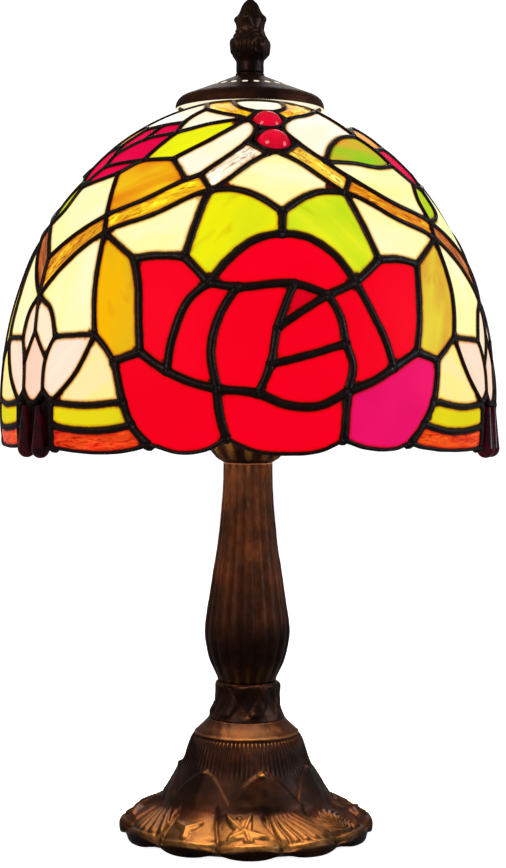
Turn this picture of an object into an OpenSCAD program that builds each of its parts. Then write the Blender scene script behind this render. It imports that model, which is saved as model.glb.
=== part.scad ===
// Stained glass table lamp: a leaded dome shade on a cast pedestal.
// Z is up, the origin is the centre of the underside, and the big roses face -Y, +30 and +150 degrees.

/* [Shade] */
// Outer radius of the shade, over its solder beads
shade_r = 101.5; // [96:0.5:108]
// Rise of the dome above its widest level
dome_rise = 125; // [120:0.5:130]
// Height of the dome's widest level above the table
dome_level = 175; // [172:0.5:176]
// Thickness of the glass
glass_t = 3; // [2.4:0.1:3.4]
// Width of the seam between two panes
seam_w = 1.8; // [1.6:0.1:2.4]

/* [Base] */
// Radius of the foot over its scallops
foot_r = 52.3; // [48:0.1:56]
// Number of scallops round the foot
foot_lobes = 12; // [8:1:16]
// Number of flutes round the stem
stem_flutes = 18; // [12:1:20]
// Radius of the hole that the cord enters by
inlet_r = 3.2; // [2.6:0.1:3.6]

/* [Hardware] */
// Outer radius of the threaded lamp pipe
pipe_r = 5; // [4.8:0.05:5.1]
// Radius of the harp's wire
wire_r = 1.75; // [1.4:0.05:2]
// Radius of the round bulb
bulb_r = 22.5; // [20:0.5:24]

/* [Hidden] */
$fn = 64;
bead = 1.2;
repeats = 3;
sector = 360 / repeats;
edge = seam_w / 2;
round_r = shade_r - bead - glass_t;
round_h = dome_rise - bead - glass_t;

// Heights up the pedestal
foot_top = 46.8;
collar_top = 62;
stem_top = 152;
cup_top = 163;
saddle_top = 164.6;
socket_top = 214;
seat_top = 308.2;
cap_plate = 308.4;
cap_top = 309.6;
washer_top = 310.4;
finial_top = 341.5;
stud_r = 3.175;
bulb_z = 245;
inlet_z = 15.5;
inlet_lip = 43;
inlet_l = 6.4;

// ---- Pattern of the shade: [turn round the lamp, rise above the widest level], in degrees ----

// Degrees that the seams are spread towards the back: the most at each turn, and the share of it at
// each rise
SPREAD = [[0, 0], [25, 0], [47, 2.2], [60, 7.5], [80, 8], [180, 0]];
SPREAD_SHARE = [[-11, 0.5], [2, 0.42], [15, 0.5], [25, 0.85], [34, 1.1], [45, 1], [60, 0.8], [80, 0.6]];

// A place of one repeat, its turn brought to within 180 degrees of the front and spread
function spread(p, repeat) = let(t = (p[0] + repeat * sector + 180) % 360 - 180)
    [t + sign(t) * lookup(abs(t), SPREAD) * lookup(p[1], SPREAD_SHARE), p[1]];

// The same place one repeat further round, and places measured from the tulip's middle
function next(p) = [p[0] + sector, p[1]];
function tulip(t, rise) = [sector / 2 + t, rise];
function mirrored(p) = [-p[0], p[1]];

// Junctions round the big rose
j_top_l = [-17.5, 26];
j_top_r = [16, 26.5];
j_crown = [-0.5, 36.5];
j_bud_l = [-11, 25];
j_bud_top = [1.5, 25.8];
j_bud_r = [9, 23.5];
j_bud_in = [-2.5, 16.5];
j_bud_mid = [-4, 9];
j_bud_side = [12.3, 13.5];
j_bud_foot = [-6.5, 3];
j_low_l = [-15, 4];
j_low_r = [12.5, 3.5];
j_in_l = [-25.5, 7.5];
j_in_r = [23.5, 8.5];
j_out_l = [-31.5, 11.5];
j_out_r = [30, 12];
j_ear_l = [-35.3, 31.3];
j_ear_r = [34.5, 31];
j_sepal_l = [-23.5, 31.5];
j_sepal_r = [23.5, 31.5];
j_heart = [0, 41.5];
j_leaf_l = [-37.5, 9.5];
j_leaf_r = [36, 10.3];
j_band_l = [-35, 1.2];
j_band_r = [34.3, 1.6];
j_rim_l = [-33, -3.7];
j_rim_r = [31.5, -3.3];
j_hem_l = [-29.5, -7.8];
j_hem_r = [28, -7.4];
j_hem_in_l = [-13, -6.1];
j_hem_in_r = [11.7, -6.4];

// Junctions along the amber rope
k_up_r = [5, 71.5];
k_low_r = [9.8, 67.8];
k_top_r = [9.6, 59.5];
k_foot_r = [2.8, 55.9];
k_one_r = [23, 50.5];
k_one_low_r = [19.2, 46.5];
k_two_r = [47, 41.5];
k_two_low_r = [45.5, 37.5];
k_cap_in_r = [26, 80.2];
k_cap_out_r = [57, 80.2];
k_mid = tulip(0, 32.8);
k_mid_low = tulip(0, 24.3);
k_side_up_r = [5.7, 64.4];
k_up_l = mirrored(k_up_r);
k_low_l = mirrored(k_low_r);
k_top_l = mirrored(k_top_r);
k_foot_l = [-2.4, 56];
k_one_l = mirrored(k_one_r);
k_one_low_l = mirrored(k_one_low_r);
k_two_l = mirrored(k_two_r);
k_two_low_l = mirrored(k_two_low_r);
k_cap_in_l = mirrored(k_cap_in_r);
k_cap_out_l = mirrored(k_cap_out_r);
k_side_up_l = mirrored(k_side_up_r);
k_crown = [0.2, 56.6];

// Junctions round the tulip, and where it meets the leaves on either side
t_in_l = tulip(-6.5, 15);
t_in_r = tulip(6.5, 15);
t_front = tulip(-0.3, 16.3);
t_side_l = tulip(-4.2, 9.5);
t_side_r = tulip(4.3, 10.3);
t_foot_l = tulip(-3.8, 3.3);
t_foot_r = tulip(3.8, 3.3);
t_foot = tulip(0, 0.7);
t_tip_l = [42.7, 15.3];
t_tip_r = next([-42.7, 15.3]);
t_band_l = tulip(-6.5, 1);
t_band_r = tulip(6.5, 1);
t_rim_l = tulip(-6.5, -4.1);
t_rim_r = tulip(6.5, -4.1);
t_hem_l = tulip(-6.5, -9);
t_hem_r = tulip(6.5, -9);

// Junctions round the small rose above the tulip
s_leaf_tip_l = tulip(-43.3, 54.3);
s_leaf_tip_r = tulip(33, 49.2);
s_fork_r = tulip(26.5, 55);
s_out_r = tulip(21, 63.5);
s_top_r = tulip(19.5, 67.3);
s_low_r = tulip(15.5, 55.2);
s_foot_r = tulip(9, 52.3);
s_foot_l = tulip(-4.5, 50);
s_leaf_l = tulip(-8, 51.2);
s_low_l = tulip(-13, 55.5);
s_out_l = tulip(-14.5, 59.7);
s_far_l = tulip(-18.5, 63.6);
s_in_l = tulip(-4, 61.3);
s_top_l = tulip(1, 66.4);
s_top_m = tulip(9, 67);
s_mid_r = tulip(8, 62);
s_mid_l = tulip(-1, 58);
s_mid_low = tulip(0.5, 54.6);
s_vein_l = tulip(-16, 75);
s_vein_r = tulip(23, 73.6);

ROSE = [
    [j_top_l, [-13, 31], [-7.5, 35], j_crown, [6, 35.7], [12, 32], j_top_r, j_bud_r, j_bud_top,
        j_bud_l],
    [j_top_l, [-21.5, 22.5], [-24.5, 15], j_in_l, j_out_l, [-32.3, 19], [-33.3, 26], j_ear_l,
        [-30, 31.8], j_sepal_l],
    [j_top_l, j_bud_l, [-14.5, 19.5], [-16.3, 12], j_low_l, [-20, 5.2], j_in_l, [-24.5, 15],
        [-21.5, 22.5]],
    [j_top_r, [19.3, 20], [22, 14], j_in_r, [18.5, 5.8], j_low_r, [13.7, 9], j_bud_side,
        [11.5, 19], j_bud_r],
    [j_top_r, j_sepal_r, [30, 31.8], j_ear_r, [32.8, 24], [31.5, 17.5], j_out_r, j_in_r,
        [22, 14], [19.3, 20]],
    [j_out_l, j_in_l, [-20, 5.2], j_low_l, [-14.3, -1.5], j_hem_in_l, [-17.5, -8.7], [-23, -9.3],
        j_hem_l, j_rim_l, j_band_l, j_leaf_l],
    [j_low_l, j_bud_foot, [-1, 0.8], [6, 0.5], j_low_r, j_hem_in_r, [6.5, -8.8], [-0.5, -9.4],
        [-7, -8.8], j_hem_in_l, [-14.3, -1.5]]
];
BUD = [
    [j_bud_l, j_bud_top, j_bud_in, j_bud_mid, j_bud_foot, j_low_l, [-16.3, 12], [-14.5, 19.5]],
    [j_bud_top, j_bud_r, j_bud_in],
    [j_bud_in, j_bud_r, [11.5, 19], j_bud_side, [4, 11], j_bud_mid],
    [j_bud_mid, [4, 11], j_bud_side, [13.7, 9], j_low_r, [6, 0.5], [-1, 0.8], j_bud_foot]
];
MAGENTA = [
    [j_low_r, [18.5, 5.8], j_in_r, j_out_r, j_leaf_r, j_band_r, j_rim_r, j_hem_r, [24, -8.5],
        [17.5, -8.3], j_hem_in_r]
];
SEPAL = [
    [j_top_l, j_sepal_l, [-21.8, 39], k_one_low_l, [-11, 46.5], j_heart, j_crown, [-7.5, 35],
        [-13, 31]],
    [j_top_r, [12, 32], [6, 35.7], j_crown, j_heart, [10.5, 46.3], k_one_low_r, [21.5, 39],
        j_sepal_r]
];
GOLD_LEAF = [
    [k_two_low_l, j_ear_l, [-33.3, 26], [-32.3, 19], j_out_l, j_leaf_l, mirrored(t_tip_l),
        [-44, 25]]
];
OLIVE_LEAF = [
    [k_two_low_r, [45, 25], t_tip_l, j_leaf_r, j_out_r, [31.5, 17.5], [32.8, 24], j_ear_r]
];
LOWER_CREAM = [
    [k_foot_l, k_crown, k_foot_r, k_one_low_r, [10.5, 46.3], j_heart, [-11, 46.5], k_one_low_l],
    [k_one_low_l, [-21.8, 39], j_sepal_l, [-30, 31.8], j_ear_l, k_two_low_l, [-33, 41.2]],
    [k_one_low_r, [33, 41.2], k_two_low_r, j_ear_r, [30, 31.8], j_sepal_r, [21.5, 39]],
    [k_two_low_r, [52.5, 32], k_mid_low, tulip(-4, 21), t_in_l, t_tip_l, [45, 25]],
    [k_mid_low, [67.5, 32], next(k_two_low_l), next([-44, 25]), t_tip_r, t_in_r,
        tulip(4.5, 21)],
    [t_tip_l, tulip(-13, 7.3), t_band_l, [44, 0.3], j_band_r, j_leaf_r],
    [t_tip_r, next(j_leaf_l), next(j_band_l), next([-44.5, 0.3]), t_band_r, tulip(13, 7.3)]
];
UPPER_CREAM = [
    [k_up_l, k_up_r, [14, 73.7], k_cap_in_r, k_cap_in_l, [-14, 73.7]],
    [k_low_r, [24, 70.8], [35, 73.2], s_vein_l, s_far_l, [32, 62.8], [23.5, 59.7], s_leaf_tip_l,
        k_top_r, k_side_up_r],
    [s_vein_l, k_cap_out_r, next(k_cap_out_l), s_vein_r, s_top_r, s_top_m, s_top_l,
        tulip(-9.5, 67.8), s_far_l],
    [s_vein_r, next([-24, 70.8]), next(k_low_l), tulip(35, 66.3), s_out_r, s_top_r],
    [next(k_low_l), next(k_side_up_l), next(k_top_l), next(k_one_l), s_leaf_tip_r, s_fork_r,
        tulip(37, 60.5)],
    [s_leaf_tip_l, tulip(-33, 54.6), tulip(-23, 54.2), s_low_l, s_leaf_l, tulip(-12.5, 46.5),
        k_two_r, [34, 45.2], k_one_r],
    [k_two_r, tulip(-6.5, 44), s_foot_l, s_foot_r, next(k_two_l), k_mid]
];
ROPE = [
    [k_up_r, k_low_r, [24, 70.8], [35, 73.2], s_vein_l, k_cap_out_r, k_cap_in_r, [14, 73.7]],
    [k_up_l, [-14, 73.7], k_cap_in_l, k_cap_out_l, [-37, 73.6], [-24, 70.8], k_low_l],
    [k_top_r, s_leaf_tip_l, k_one_r, k_one_low_r, k_foot_r],
    [k_top_l, k_foot_l, k_one_low_l, k_one_l],
    [k_one_r, [34, 45.2], k_two_r, k_two_low_r, [33, 41.2], k_one_low_r],
    [k_one_l, k_one_low_l, [-33, 41.2], k_two_low_l, k_two_l, [-37, 44.8], [-27, 49.2]],
    [k_two_r, k_mid, k_mid_low, [52.5, 32], k_two_low_r],
    [k_mid, next(k_two_l), next(k_two_low_l), [67.5, 32], k_mid_low]
];
SMALL_LEAF = [
    [s_leaf_tip_l, [23.5, 59.7], [32, 62.8], s_far_l, s_out_l, s_low_l, tulip(-23, 54.2),
        tulip(-33, 54.6)],
    [s_far_l, tulip(-9.5, 67.8), s_top_l, s_in_l, s_out_l],
    [next(k_low_l), tulip(37, 60.5), s_fork_r, s_low_r, s_out_r, tulip(35, 66.3)],
    [s_low_r, s_fork_r, s_leaf_tip_r, tulip(23, 44.8), next(k_two_l), s_foot_r],
    [k_two_r, tulip(-12.5, 46.5), s_leaf_l, s_foot_l, tulip(-6.5, 44)]
];
SMALL_ROSE = [
    [s_top_m, s_top_r, s_out_r, s_mid_r],
    [s_mid_r, s_out_r, s_low_r, s_mid_low, s_mid_l],
    [s_foot_l, s_mid_low, s_low_r, s_foot_r],
    [s_leaf_l, s_low_l, s_out_l, s_in_l, s_mid_l, s_mid_low, s_foot_l],
    [s_in_l, s_top_l, s_top_m, s_mid_r, s_mid_l]
];
TULIP = [
    [t_in_l, t_tip_l, tulip(-13, 7.3), t_band_l, t_foot_l, t_side_l],
    [k_mid_low, tulip(-4, 21), t_in_l, t_side_l, t_front],
    [k_mid_low, t_front, t_side_r, t_in_r, tulip(4.5, 21)],
    [t_front, t_side_l, t_foot_l, t_foot, t_foot_r, t_side_r],
    [t_in_r, t_side_r, t_foot_r, t_band_r, tulip(13, 7.3), t_tip_r]
];
BAND = [
    [j_band_r, [44, 0.3], t_band_l, t_rim_l, [46, -5], [38.5, -4.9], j_rim_r],
    [t_band_r, next([-44.5, 0.3]), next(j_band_l), next(j_rim_l), next([-39.5, -4.9]), next([-46.5, -5]),
        t_rim_r]
];
RIM = [
    [j_rim_r, [38.5, -4.9], [46, -5], t_rim_l, t_hem_l, [46.5, -9.2], [38, -9], [31.5, -8.2],
        j_hem_r],
    [t_rim_r, next([-46.5, -5]), next([-39.5, -4.9]), next(j_rim_l), next(j_hem_l),
        next([-33, -8.8]), next([-39, -9.6]), next([-47, -9.5]), t_hem_r]
];
// Round and drop cabochons: place and radius, in millimetres
ROUND_STONES = [[[0, 67.5], 6.1], [[0.7, 60.4], 6.6]];
DROP_STONES = [tulip(-2.8, -4.6), tulip(2.8, -4.6)];
drop_r = 3.5;
drop_l = 16.4;
PATTERN = concat(ROSE, BUD, MAGENTA, SEPAL, GOLD_LEAF, OLIVE_LEAF, LOWER_CREAM, UPPER_CREAM,
    ROPE, SMALL_LEAF, SMALL_ROSE, TULIP, BAND, RIM);

// ---- Geometry of a pane ----

function unit(v) = v / norm(v);
function total(list, i = 0) = i == len(list) - 1 ? list[i] : list[i] + total(list, i + 1);

// Distance of the glass's inner face from the middle of the dome, and a place on that face
function reach(rise) = 1 / sqrt(pow(cos(rise) / round_r, 2) + pow(sin(rise) / round_h, 2));
function ray(p) = [cos(p[1]) * sin(p[0]), -cos(p[1]) * cos(p[0]), sin(p[1])];
function on_dome(p) = reach(p[1]) * ray(p);

// The flat face that fits an outline best: its middle and its outward normal
function middle(pts) = total(pts) / len(pts);
function newell(pts) = let(n = len(pts), m = middle(pts))
    total([for (i = [0:n - 1]) cross(pts[i] - m, pts[(i + 1) % n] - m)]);
function outward(pts) = let(v = unit(newell(pts))) v * middle(pts) > 0 ? v : -v;

// An outline dropped along its rays onto the plane, in the plane's own axes
function dropped(pts, m, u, v, w) = [for (p = pts) let(q = p * ((m * w) / (p * w)) - m) [q * u, q * v]];
function turning(out) = total([for (i = [0:len(out) - 1])
    let(a = out[i], b = out[(i + 1) % len(out)]) a[0] * b[1] - a[1] * b[0]]);

// An outline moved inwards by a distance, each corner along its own bisector
function side(a, b) = let(d = unit(b - a)) [-d[1], d[0]];
function inset(out, d) = let(n = len(out), s = turning(out) > 0 ? d : -d) [for (i = [0:n - 1])
    let(before = side(out[(i + n - 1) % n], out[i]), after = side(out[i], out[(i + 1) % n]))
    out[i] + s * (before + after) / max(0.08, 1 + before * after)];

module pane(places, thick, gap, back = 0) {
    pts = [for (p = places) on_dome(p)];
    m = middle(pts);
    w = outward(pts);
    u = unit(cross([0, 0, 1], w));
    v = cross(w, u);
    translate([0, 0, dome_level])
        multmatrix([
            [u[0], v[0], w[0], m[0]],
            [u[1], v[1], w[1], m[1]],
            [u[2], v[2], w[2], m[2]],
            [0, 0, 0, 1]
        ])
            translate([0, 0, back])
                linear_extrude(thick)
                    polygon(inset(dropped(pts, m, u, v, w), gap));
}

module panes(list) {
    for (repeat = [0:repeats - 1])
        for (places = list)
            pane([for (p = places) spread(p, repeat)], glass_t, edge);
}

// ---- Shade ----

module rose_glass() { color("crimson") panes(ROSE); }
module bud_glass() { color("red") panes(BUD); }
module magenta_glass() { color("deeppink") panes(MAGENTA); }
module sepal_glass() { color("yellowgreen") panes(SEPAL); }
module gold_leaf_glass() { color("goldenrod") panes(GOLD_LEAF); }
module olive_leaf_glass() { color("olivedrab") panes(OLIVE_LEAF); }
module small_leaf_glass() { color("greenyellow") panes(SMALL_LEAF); }
module lower_cream_glass() { color("lemonchiffon") panes(LOWER_CREAM); }
module upper_cream_glass() { color("ivory") panes(UPPER_CREAM); }
module rope_glass() { color("orange") panes(ROPE); }
module tulip_glass() { color("peachpuff") panes(TULIP); }
module band_glass() { color("khaki") panes(BAND); }
module rim_glass() { color("orangered") panes(RIM); }

// The small rose is crimson glass of its own
module small_rose_glass() { color("mediumvioletred") panes(SMALL_ROSE); }

// Sets a stone on the dome at a place, its back on the glass's inner face
module on_shade(place) {
    r = reach(place[1]);
    flat = atan2(sin(place[1]) * pow(round_r, 2), cos(place[1]) * pow(round_h, 2));
    for (repeat = [0:repeats - 1])
        translate([0, 0, dome_level])
            rotate([0, 0, spread(place, repeat)[0]])
                translate([0, -r * cos(place[1]), r * sin(place[1])])
                    rotate([90 - flat, 0, 0])
                        children();
}

// A low dome of glass, ground flat at the back
module round_stone(r) {
    high = 6.4;
    ball = (r * r + high * high) / (2 * high);
    rotate_extrude()
        intersection() {
            translate([0, high - ball])
                circle(r = ball);
            square([r, high]);
        }
}

module round_cabochons() {
    color("crimson")
        for (stone = ROUND_STONES)
            on_shade(stone[0])
                round_stone(stone[1]);
}

// A tear-shaped drop that hangs down the shade, its round end low
module drop(r) {
    tip_r = 0.3 * r;
    translate([0, -drop_l / 2, glass_t])
        union() {
            sphere(r = r);
            rotate([-90, 0, 0])
                cylinder(r1 = r, r2 = tip_r, h = drop_l);
        }
}

module drop_cabochons() {
    color("maroon")
        for (place = DROP_STONES)
            on_shade(place)
                drop(drop_r);
}

// Curved shell as deep as the solder, from the hem to the hole at the top
module solder_shell() {
    low = -10.8;
    high = 80.9;
    bands = 15;
    depth = 1.5;
    crest = glass_t + 0.9;
    rises = [for (i = [0:bands]) low + (high - low) * i / bands];
    outer = [for (e = rises) (reach(e) + crest) * [cos(e), sin(e)]];
    inner = [for (i = [bands:-1:0]) (reach(rises[i]) - depth) * [cos(rises[i]), sin(rises[i])]];
    translate([0, 0, dome_level])
        rotate_extrude()
            polygon(concat(outer, inner));
}

// Solder between all the panes and round the stones, left where the glass is cut out of the shell
module solder_lattice() {
    slack = 0.1;
    color("dimgray")
        difference() {
            solder_shell();
            for (repeat = [0:repeats - 1])
                for (places = PATTERN)
                    pane([for (p = places) spread(p, repeat)], glass_t + 14, edge - slack, -glass_t - 2);
            for (stone = ROUND_STONES)
                on_shade(stone[0])
                    translate([0, 0, -4])
                        cylinder(r = stone[1] + slack, h = 12);
            for (place = DROP_STONES)
                on_shade(place)
                    drop(drop_r + slack);
        }
}

// Brass ring soldered round the hole at the top of the shade
module top_ring() {
    low = 293;
    high = 297.5;
    color("darkgoldenrod")
        rotate_extrude()
            translate([17.7, low])
                square([1, high - low]);
}

// ---- Cap and finial ----

module vase_cap() {
    top_r = 6;
    vent_r = 1.2;
    vent_place = 17.5;
    vents = 24;
    shoulder_r = 5;
    shoulder = [25.4, 296.4];
    edge_pts = concat(
        [[top_r, cap_top], [8.6, 308.5], [12, 307.1], [20.3, 303.7]],
        [for (a = [66:-15:-9]) shoulder + shoulder_r * [cos(a), sin(a)]]
    );
    back_pts = concat(
        [for (a = [-9:15:66]) shoulder + (shoulder_r - 1) * [cos(a), sin(a)]],
        [[19.9, 302.7], [11.7, 306.1], [8.3, 307.4], [top_r, cap_plate]],
        [[stud_r + 0.3, cap_plate], [stud_r + 0.3, cap_top]]
    );
    color("saddlebrown")
        difference() {
            rotate_extrude()
                polygon(concat(edge_pts, back_pts));
            for (i = [0:vents - 1])
                rotate([0, 0, i * 360 / vents])
                    translate([vent_place, 0, cap_plate - 8])
                        cylinder(r = vent_r, h = 8);
        }
}

module finial_washer() {
    color("goldenrod")
        difference() {
            translate([0, 0, cap_top])
                cylinder(r = 5.9, h = washer_top - cap_top);
            translate([0, 0, cap_top - 1])
                cylinder(r = stud_r + 0.045, h = 3);
        }
}

module finial() {
    bore_top = 321;
    color("saddlebrown")
        difference() {
            rotate_extrude()
                polygon([
                    [0, washer_top], [5.8, washer_top], [6.1, 312], [5.7, 314], [5.2, 315.5],
                    [6.6, 317.2], [7.8, 319.3], [8.1, 321.6], [7.6, 324], [6.2, 326.4], [5.6, 328.4],
                    [5.9, 330.4], [6.3, 332.2], [5.3, 334.4], [4.3, 336.6], [3.2, 338.8],
                    [1, finial_top], [0, finial_top]
                ]);
            translate([0, 0, washer_top - 1])
                cylinder(r = stud_r + 0.045, h = bore_top - washer_top + 1);
        }
}

// ---- Base ----

module rest_pad() {
    color("black")
        cylinder(r = foot_r - 7.5, h = 2);
}

module base_plate() {
    color("silver")
        difference() {
            translate([0, 0, 2])
                cylinder(r = foot_r - 6.5, h = 1.2);
            translate([0, 0, 1])
                cylinder(r = pipe_r + 0.2, h = 3);
        }
}

// Hexagonal nut on the pipe, inside the foot
module plate_nut() {
    color("gold")
        difference() {
            translate([0, 0, 31])
                cylinder(r = 9, h = 4, $fn = 6);
            translate([0, 0, 30])
                cylinder(r = pipe_r + 0.05, h = 6);
        }
}

module pipe_washer() {
    color("silver")
        difference() {
            translate([0, 0, 35])
                cylinder(r = 12.5, h = 1.4);
            translate([0, 0, 34])
                cylinder(r = pipe_r + 0.2, h = 4);
        }
}

// Bell of the foot, with a scalloped skirt and a boss for the cord at its back
module foot_casting() {
    floor_z = 36.4;
    skirt_top = 7.5;
    lobe_phase = 0.75;
    lobe_r = 1.1 * PI * foot_r / foot_lobes;
    boss_in = 28;
    outer = [
        [foot_r - 3, 1], [foot_r - 2.2, 3.5], [foot_r - 2.6, 6], [48, 8.4], [45, 9.2],
        [41, 10.1], [37, 12], [33.8, 15.2], [31.4, 19.4], [28.7, 23.9], [27.1, 27.1],
        [25.7, 30.4], [24.4, 33.7],
        [23.2, 37], [22.2, 39.2], [21, 41.4], [18.6, 43.8], [15.8, foot_top]
    ];
    inner = [
        [pipe_r + 0.2, foot_top], [pipe_r + 0.2, floor_z], [20.4, floor_z], [22.6, 30.4],
        [24.2, 26], [26, 22.4], [28.8, 17.6], [31.6, 12.8], [35.6, 9.4], [40, 7.6], [foot_r - 6, 6],
        [foot_r - 6, 1]
    ];
    color("saddlebrown")
        difference() {
            union() {
                rotate_extrude()
                    polygon(concat(outer, inner));
                translate([0, boss_in, inlet_z])
                    rotate([-90, 0, 0])
                        cylinder(r = inlet_r + 3, h = inlet_lip - boss_in);
                intersection() {
                    for (i = [0:foot_lobes - 1])
                        rotate([0, 0, (i + lobe_phase) * 360 / foot_lobes])
                            translate([foot_r - lobe_r, 0, 1])
                                cylinder(r = lobe_r, h = skirt_top - 1);
                    difference() {
                        cylinder(r = foot_r, h = skirt_top);
                        translate([0, 0, -1])
                            cylinder(r = foot_r - 6, h = skirt_top + 2);
                    }
                }
            }
            translate([0, inlet_lip, inlet_z])
                rotate([-90, 0, 0])
                    cylinder(r = inlet_r + 2.4, h = 20);
            translate([0, boss_in - 4, inlet_z])
                rotate([-90, 0, 0])
                    cylinder(r = inlet_r + 1.3, h = 24);
        }
}

// Bush that the cord enters by, at the back of the foot
module cord_grommet() {
    color("black")
        translate([0, 0, inlet_z])
            rotate([-90, 0, 0])
                difference() {
                    union() {
                        translate([0, 0, inlet_lip - inlet_l])
                            cylinder(r = inlet_r + 1.2, h = inlet_l);
                        translate([0, 0, inlet_lip])
                            cylinder(r = inlet_r + 2.2, h = 1.6);
                    }
                    translate([0, 0, inlet_lip - inlet_l - 1])
                        cylinder(r = inlet_r, h = inlet_l + 4);
                }
}

module neck_collar() {
    color("saddlebrown")
        difference() {
            rotate_extrude()
                polygon([
                    [0, foot_top], [15.4, foot_top], [14.4, 49.4], [13.3, 52.5], [12.9, 56],
                    [13.1, 60], [12.8, 61.5], [12.3, collar_top], [0, collar_top]
                ]);
            translate([0, 0, foot_top - 1])
                cylinder(r = pipe_r + 0.2, h = collar_top - foot_top + 2);
        }
}

// Fluted baluster: the flutes above and below its widest level are straight
module stem_casting() {
    widest = 83;
    wide_r = 17.4;
    foot_end_r = 12.3;
    top_end_r = 9.8;
    flute_r = 1.25;
    color("saddlebrown")
        difference() {
            rotate_extrude()
                polygon([
                    [0, collar_top], [foot_end_r - 0.4, collar_top], [foot_end_r, 63.5],
                    [15, 70], [16.8, 77], [wide_r, widest], [17, 88],
                    [15.5, 98], [13.3, 112], [11.5, 125], [10.2, 138], [top_end_r, 148],
                    [top_end_r + 0.5, stem_top], [0, stem_top]
                ]);
            for (i = [0:stem_flutes - 1])
                rotate([0, 0, i * 360 / stem_flutes]) {
                    translate([17.5, 0, 87])
                        rotate([0, atan2(13.9 - 17.5, 113 - 87), 0])
                            cylinder(r = flute_r, h = 27);
                    translate([13.8, 0, 113.5])
                        rotate([0, atan2(11 - 13.8, 134 - 113.5), 0])
                            cylinder(r = flute_r, h = 32);
                    translate([13.6, 0, 66])
                        rotate([0, atan2(17.6 - 13.6, 80 - 66), 0])
                            cylinder(r = flute_r, h = 14.5);
                }
            translate([0, 0, collar_top - 1])
                cylinder(r = pipe_r + 0.2, h = stem_top - collar_top + 2);
        }
}

module drip_cup() {
    color("saddlebrown")
        rotate_extrude()
            polygon([
                [pipe_r + 0.2, stem_top], [10.4, stem_top], [11.4, 153.5], [14.2, 156],
                [16.2, 159.2], [17, 161.8], [16, 161.8], [15, 159.6], [13.4, 157.4],
                [pipe_r + 0.2, 157.4]
            ]);
}

// Brass plate that closes the cup, under the harp's saddle
module cup_plate() {
    color("gold")
        rotate_extrude()
            polygon([
                [pipe_r + 0.2, 157.4], [8, 157.4], [8, 161.8], [17.6, 161.8], [17.6, cup_top],
                [pipe_r + 0.2, cup_top]
            ]);
}

module lamp_pipe() {
    low = 4;
    top = 170;
    bore_r = 3.3;
    color("gold")
        difference() {
            translate([0, 0, low])
                cylinder(r = pipe_r, h = top - low);
            translate([0, 0, low - 1])
                cylinder(r = bore_r, h = top - low + 2);
        }
}

// ---- Harp ----

harp_x = 20;
bow_r = 78;
bow_mid = 236;
bow_off = 38;

module harp_saddle() {
    color("silver")
        difference() {
            union() {
                translate([-harp_x - 4, -5, cup_top])
                    cube([2 * harp_x + 8, 10, saddle_top - cup_top]);
                translate([0, 0, cup_top])
                    cylinder(r = 9, h = saddle_top - cup_top);
                for (s = [-1, 1])
                    translate([s * harp_x, 0, cup_top])
                        cylinder(r = 3, h = 12);
            }
            translate([0, 0, cup_top - 1])
                cylinder(r = pipe_r + 0.2, h = 4);
            for (s = [-1, 1])
                translate([s * harp_x, 0, saddle_top])
                    cylinder(r = wire_r + 0.05, h = 14);
        }
}

module harp() {
    low_turn = acos((harp_x + bow_off) / bow_r);
    top_turn = 56;
    boss_low = 299.5;
    boss_top = 303.5;
    stud_top = 319.5;
    bend_z = bow_mid - bow_r * sin(low_turn);
    color("silver")
        union() {
            for (s = [0, 1])
                rotate([0, 0, s * 180]) {
                    translate([-bow_off, 0, bow_mid])
                        rotate([90, 0, 0])
                            rotate([0, 0, -low_turn])
                                rotate_extrude(angle = low_turn + top_turn)
                                    translate([bow_r, 0])
                                        circle(r = wire_r, $fn = 32);
                    translate([harp_x, 0, saddle_top])
                        cylinder(r = wire_r, h = bend_z - saddle_top, $fn = 32);
                    translate([harp_x, 0, bend_z])
                        sphere(r = wire_r + 0.4, $fn = 32);
                }
            translate([0, 0, boss_low])
                cylinder(r = 9, h = boss_top - boss_low);
            translate([0, 0, boss_top - 0.5])
                cylinder(r = 5, h = seat_top - boss_top + 0.5);
            translate([0, 0, seat_top - 1])
                cylinder(r = stud_r, h = stud_top - seat_top + 1);
        }
}

// ---- Socket and bulb ----

module socket_cap() {
    color("gold")
        rotate_extrude()
            polygon([
                [pipe_r + 0.05, saddle_top], [8, saddle_top], [12.2, 167.5], [14, 171.5],
                [14.2, 178], [13.2, 178], [13, 172], [11.4, 168.8], [pipe_r + 0.05, 168.8]
            ]);
}

module socket_shell() {
    color("gold")
        rotate_extrude()
            polygon([
                [13.3, 178.2], [14.2, 178.2], [14.2, 186], [14.8, 187], [14.8, 190], [14.2, 191],
                [14.2, socket_top], [13.3, socket_top]
            ]);
}

// Paper sleeve between the shell and the live parts
module socket_liner() {
    color("tan")
        difference() {
            translate([0, 0, 179])
                cylinder(r = 13, h = 34);
            translate([0, 0, 178])
                cylinder(r = 12.1, h = 36);
        }
}

// Porcelain block that carries the screw shell
module socket_core() {
    color("white")
        difference() {
            translate([0, 0, 178.5])
                cylinder(r = 11.8, h = 20.5);
            translate([0, 0, 188])
                cylinder(r = 7.65, h = 12);
            for (s = [-1, 1])
                translate([s * 9.7, 0, 177])
                    cylinder(r = 1.2, h = 23);
        }
}

module screw_shell() {
    color("gold")
        difference() {
            translate([0, 0, 189])
                cylinder(r = 7.6, h = 23);
            translate([0, 0, 188])
                cylinder(r = 7, h = 26);
        }
}

module spring_contact() {
    color("orange")
        union() {
            translate([-1.6, -5, 188.1])
                cube([3.2, 6.6, 0.6]);
            translate([0, 0, 188.3])
                cylinder(r = 1.6, h = 1.4);
        }
}

module bulb_contact() {
    color("silver")
        translate([0, 0, 189.8])
            cylinder(r = 2.2, h = 1.4);
}

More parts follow.
